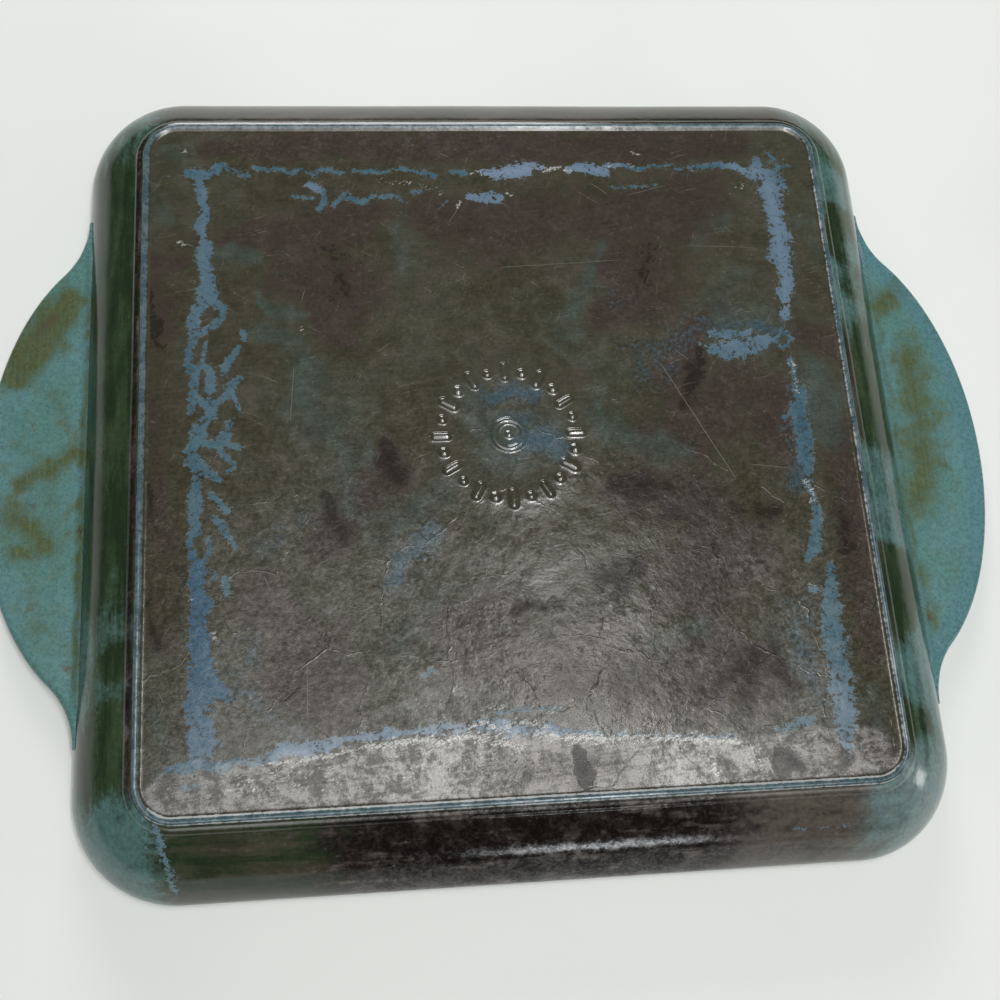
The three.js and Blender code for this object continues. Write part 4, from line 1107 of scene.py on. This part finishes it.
# walls and corners
SIDES = ["right", "back", "left", "front"]
CORNERS = ["back_right", "back_left", "front_left", "front_right"]
for k in range(4):
    start = k * (ALONG + ROUND)
    at = np.arange(start, start + ALONG + 1) % columns
    nc = len(at)
    points = place[:, at].reshape(-1, 3)
    normals = normal[:, at].reshape(-1, 3)
    faces = grid_faces(rows, nc)
    slots = [0 if i < outer_rows - 1 else 1 for i in range(rows - 1) for _ in range(nc - 1)]
    closing = [[(rows - 1) * nc + j, j, j + 1, (rows - 1) * nc + j + 1] for j in range(nc - 1)]
    faces += closing
    slots += [-1] * len(closing)
    faces += [[i * nc for i in range(rows - 1, -1, -1)], [i * nc + nc - 1 for i in range(rows)]]
    slots += [-1, -1]
    piece = make("pan_wall_" + SIDES[k], points, faces, normals, slots, paint(points), [pan_coat, cooking_coat])
    settle(piece, "wall_enamel", "wall_" + SIDES[k])

    at = np.arange(start + ALONG, start + ALONG + ROUND + 1) % columns
    nc = len(at)
    axis = place[[0, -1], at[0]]
    points = np.vstack([place[1:-1, at].reshape(-1, 3), axis])
    normals = np.vstack([normal[1:-1, at].reshape(-1, 3), normal[[0, -1], at[0]]])
    last = (rows - 2) * nc
    faces = grid_faces(rows - 2, nc)
    slots = [0 if i + 1 < outer_rows - 1 else 1 for i in range(rows - 3) for _ in range(nc - 1)]
    faces += [[last, j, j + 1] for j in range(nc - 1)]
    slots += [0] * (nc - 1)
    faces += [[last + 1, (rows - 3) * nc + j + 1, (rows - 3) * nc + j] for j in range(nc - 1)]
    slots += [1] * (nc - 1)
    faces += [
        [last + 1] + [i * nc for i in range(rows - 3, -1, -1)] + [last],
        [last] + [i * nc + nc - 1 for i in range(rows - 2)] + [last + 1],
    ]
    slots += [-1, -1]
    piece = make("pan_corner_" + CORNERS[k], points, faces, normals, slots, paint(points), [pan_coat, cooking_coat])
    settle(piece, "wall_enamel", "corner_" + CORNERS[k])

# ------------------------------------------------------------------ handles
CENTRE, REACH, HALF, HOLLOW, RIM_HALF = 108.0, 42.5, 73.0, 25.0, 122.5
ROOT, EDGE, UNDER = 119.5, 1.75, 0.3
turning = np.linspace(0, math.pi / 2, 4001)
ellipse = np.stack([CENTRE + REACH * np.cos(turning), HALF * np.sin(turning)], 1)
low, high = 60.0, 120.0
for _ in range(50):
    middle = (low + high) / 2
    if np.hypot(ellipse[:, 0] - RIM_HALF - HOLLOW, ellipse[:, 1] - middle).min() > HOLLOW:
        high = middle
    else:
        low = middle
hollow_y = (low + high) / 2
touch = np.hypot(ellipse[:, 0] - RIM_HALF - HOLLOW, ellipse[:, 1] - hollow_y).argmin()
where = math.atan2(ellipse[touch, 1] - hollow_y, ellipse[touch, 0] - RIM_HALF - HOLLOW)
arc = np.linspace(where % (2 * math.pi), math.pi, 400)
curve = np.vstack([
    ellipse[:touch + 1],
    np.stack([RIM_HALF + HOLLOW + HOLLOW * np.cos(arc), hollow_y + HOLLOW * np.sin(arc)], 1)[1:],
])
curve = np.vstack([curve[:0:-1] * [1, -1], curve])  # from the near end to the far end
length = np.concatenate([[0], np.cumsum(np.hypot(*np.diff(curve, axis=0).T))])
even = np.linspace(0, length[-1], 231)
outline = np.stack([np.interp(even, length, curve[:, k]) for k in (0, 1)], 1)
way = np.gradient(outline, axis=0)
way /= np.linalg.norm(way, axis=1, keepdims=True)
out = np.stack([way[:, 1], -way[:, 0]], 1)


def handle_top(x, y):
    z = 7.2 - (x - RIM_HALF) * 2.2 / (CENTRE + REACH - RIM_HALF)
    fade = 1 - step(np.abs(y), 66, 76)
    rise = 1.5 * np.maximum((123.4 - x) / 2.7, 0) ** 1.7
    return z + rise * fade


def handle(side, name, node):
    """A half-moon tab. Rows run from under the wall out along the underside, round the edge and back over the top."""
    end = outline - EDGE * out
    lower = UNDER + EDGE
    rows_ = []
    for f in np.linspace(0, 1, 14):
        rows_.append(np.column_stack([ROOT + (end[:, 0] - ROOT) * f, end[:, 1], np.full(len(end), UNDER)]))
    for a in np.linspace(-90, 0, 7)[1:]:
        a = math.radians(a)
        xy = end + EDGE * math.cos(a) * out
        rows_.append(np.column_stack([xy, np.full(len(end), lower + EDGE * math.sin(a))]))
    upper = handle_top(end[:, 0], end[:, 1]) - EDGE
    for a in np.linspace(0, 90, 9)[:-1]:
        a = math.radians(a)
        xy = end + EDGE * math.cos(a) * out
        rows_.append(np.column_stack([xy, upper + EDGE * math.sin(a)]))
    for f in np.linspace(0, 1, 42) ** 0.85:
        x = end[:, 0] + (ROOT - end[:, 0]) * f
        rows_.append(np.column_stack([x, end[:, 1], handle_top(x, end[:, 1])]))
    g = np.array(rows_)
    first_top = 14 + 6
    if side < 0:
        g[..., :2] *= -1
    calm = step(g[..., 2], 2.0, 4.5)[..., None]
    lift = waves(g)[..., None] * calm * 1.6
    lift[:14] = 0
    g[..., 2:] += lift
    du, dv = np.gradient(g, axis=0), np.gradient(g, axis=1)
    nn = np.cross(du, dv)
    nn /= np.maximum(np.linalg.norm(nn, axis=-1, keepdims=True), 1e-9)
    nr, nc = g.shape[:2]
    if nn[-20, nc // 2, 2] < 0:
        nn = -nn
    faces = grid_faces(nr, nc)
    a, b, c = (g[-20, nc // 2], g[-19, nc // 2], g[-19, nc // 2 + 1])
    if np.cross(b - a, c - a)[2] < 0:
        faces = [f[::-1] for f in faces]
    slots = [0] * len(faces)
    ring = [j for j in range(nc)] + [(nr - 1) * nc + j for j in range(nc - 1, -1, -1)]
    near_end = [i * nc for i in range(nr)]
    far_end = [i * nc + nc - 1 for i in range(nr)]
    flip = faces[0][1] != nc  # the quads were turned round
    caps = [ring[::-1], near_end[::-1], far_end]
    faces += [c[::-1] if flip else c for c in caps]
    slots += [-1, -1, -1]
    points = g.reshape(-1, 3)
    x, y = points[:, 0], points[:, 1]
    from_edge = np.array([np.hypot(*(outline * side - (px, py)).T).min() for px, py in zip(x, y)])
    layers = {
        # olive stains, and painted shade along the wall creases
        "olive": drawn(points, OLIVE_AND_CREASE_SHADE, 7, 51),
        "rust": drawn(points, RUST, 3, 53),
        "rim": (1 - step(from_edge, 4.5, 8.5)) * (side > 0),
    }
    piece = make(name, points, faces, nn.reshape(-1, 3), slots, layers, [handle_coat])
    return settle(piece, "handle_enamel", node)


handle(1, "pan_handle_right", "handle_right")
handle(-1, "pan_handle_left", "handle_left")

# ------------------------------------------------------------------ ribs
RIBS, PITCH = 15, 11.6
levels = [
    (2.7, 86.0, 20.6), (2.7, 86.0, 20.36), (2.35, 85.7, 20.15), (2.08, 85.3, 19.75), (1.92, 84.8, 19.1),
    (1.80, 84.2, 18.4), (1.68, 83.6, 17.8), (1.48, 83.0, 17.35), (1.15, 82.4, 17.1), (0.65, 81.8, 17.0),
]
points, faces, slots = [], [], []
for i in range(RIBS):
    cx = (i - (RIBS - 1) / 2) * PITCH
    first = len(points)
    n_ring = 0
    for half, reach, z in levels:
        ring = []
        straight = reach - half
        for k in range(9):
            a = -math.pi / 2 + (k / 8 - 0.5) * math.pi
            ring.append((cx + half * math.cos(a), -straight + half * math.sin(a), z))
        for t in np.linspace(-straight, straight, 30)[1:-1]:
            ring.append((cx + half, t, z))
        for k in range(9):
            a = math.pi / 2 + (k / 8 - 0.5) * math.pi
            ring.append((cx + half * math.cos(a), straight + half * math.sin(a), z))
        for t in np.linspace(straight, -straight, 30)[1:-1]:
            ring.append((cx - half, t, z))
        n_ring = len(ring)
        points += ring
    for l in range(len(levels) - 1):
        for j in range(n_ring):
            k = (j + 1) % n_ring
            a = first + l * n_ring
            faces.append([a + j, a + n_ring + j, a + n_ring + k, a + k])
            slots.append(0)
    faces.append([first + j for j in range(n_ring)])
    slots.append(-1)
    tip = first + (len(levels) - 1) * n_ring
    faces.append([tip + j for j in range(n_ring - 1, -1, -1)])
    slots.append(0)
points = np.array(points)
mesh = bpy.data.meshes.new("pan_ribs")
mesh.from_pydata((points * MM).tolist(), [], faces)
mesh.materials.append(cooking_coat)
mesh.polygons.foreach_set("use_smooth", np.array([s == 0 for s in slots], bool))
mesh.update()
ribs = bpy.data.objects.new("pan_ribs", mesh)
scene.collection.objects.link(ribs)
settle(ribs, "cooking_enamel", *["rib_%02d" % (i + 1) for i in range(RIBS)])

# ------------------------------------------------------------------ table, room and lights
floor_mesh = bpy.data.meshes.new("table")
floor_mesh.from_pydata([(-4, -4, 0), (4, -4, 0), (4, 4, 0), (-4, 4, 0)], [], [(0, 1, 2, 3)])
table = bpy.data.objects.new("table", floor_mesh)
scene.collection.objects.link(table)
t = Net("table_top")
tone = t.mix(t.smooth(t.noise(140, 3, 0.5, at=31), 0.3, 0.7), (0.715, 0.740, 0.722), (0.750, 0.768, 0.750))
floor_mesh.materials.append(t.finish(tone, 0.55, t.noise(3.0, 3, 0.5, at=32), 0.01, 0.3))

world = bpy.data.worlds.new("room")
scene.world = world
world.use_nodes = True
tree = world.node_tree
tree.nodes.clear()
coord = tree.nodes.new("ShaderNodeTexCoord")
split = tree.nodes.new("ShaderNodeSeparateXYZ")
tree.links.new(coord.outputs["Generated"], split.inputs[0])
rise = tree.nodes.new("ShaderNodeMapRange")  # the room is darker towards the horizon
for key, value in (("From Min", 0.0), ("From Max", 0.9), ("To Min", 0.10), ("To Max", 0.18)):
    rise.inputs[key].default_value = value
tree.links.new(split.outputs["Z"], rise.inputs["Value"])
toward = tree.nodes.new("ShaderNodeVectorMath")
toward.operation = "DOT_PRODUCT"
tree.links.new(coord.outputs["Generated"], toward.inputs[0])
toward.inputs[1].default_value = Vector((0.075, -0.17, 1.0)).normalized()
glow = tree.nodes.new("ShaderNodeMapRange")  # and the ceiling glows round the lamp
glow.interpolation_type = "SMOOTHERSTEP"
for key, value in (("From Min", math.cos(math.radians(31))), ("From Max", 1.0), ("To Min", 0.0), ("To Max", 3.5)):
    glow.inputs[key].default_value = value
tree.links.new(toward.outputs["Value"], glow.inputs["Value"])
both = tree.nodes.new("ShaderNodeMath")
both.operation = "ADD"
tree.links.new(rise.outputs["Result"], both.inputs[0])
tree.links.new(glow.outputs["Result"], both.inputs[1])
back = tree.nodes.new("ShaderNodeBackground")
back.inputs["Color"].default_value = (1.0, 1.0, 0.985, 1.0)
tree.links.new(both.outputs[0], back.inputs["Strength"])
end = tree.nodes.new("ShaderNodeOutputWorld")
tree.links.new(back.outputs[0], end.inputs["Surface"])


def softbox(name, at, aim, size, radiance, colour=(1, 1, 1)):
    """A rectangular light at a place in metres, facing a point, of a given brightness."""
    data = bpy.data.lights.new(name, "AREA")
    data.shape = "RECTANGLE"
    data.size, data.size_y = size
    data.energy = 4 * size[0] * size[1] * radiance
    data.color = colour
    lamp = bpy.data.objects.new(name, data)
    scene.collection.objects.link(lamp)
    lamp.location = at
    lamp.rotation_euler = (Vector(aim) - Vector(at)).to_track_quat("-Z", "Y").to_euler()
    return lamp


softbox("overhead", (0.18, -0.105, 1.0), (0.16, -0.105, 0), (0.66, 0.07), 17.0, (1.0, 0.985, 0.975))
softbox("window", (0.26, -1.5, 0.32), (0.03, -0.12, 0.01), (0.24, 0.14), 12.0, (0.93, 0.97, 1.0))
softbox("side", (1.41, -0.51, 0.29), (0, 0, 0.02), (0.26, 0.22), 5.0)
softbox("far", (-0.05, 1.1, 0.50), (0, 0, 0.02), (0.56, 0.32), 7.5)
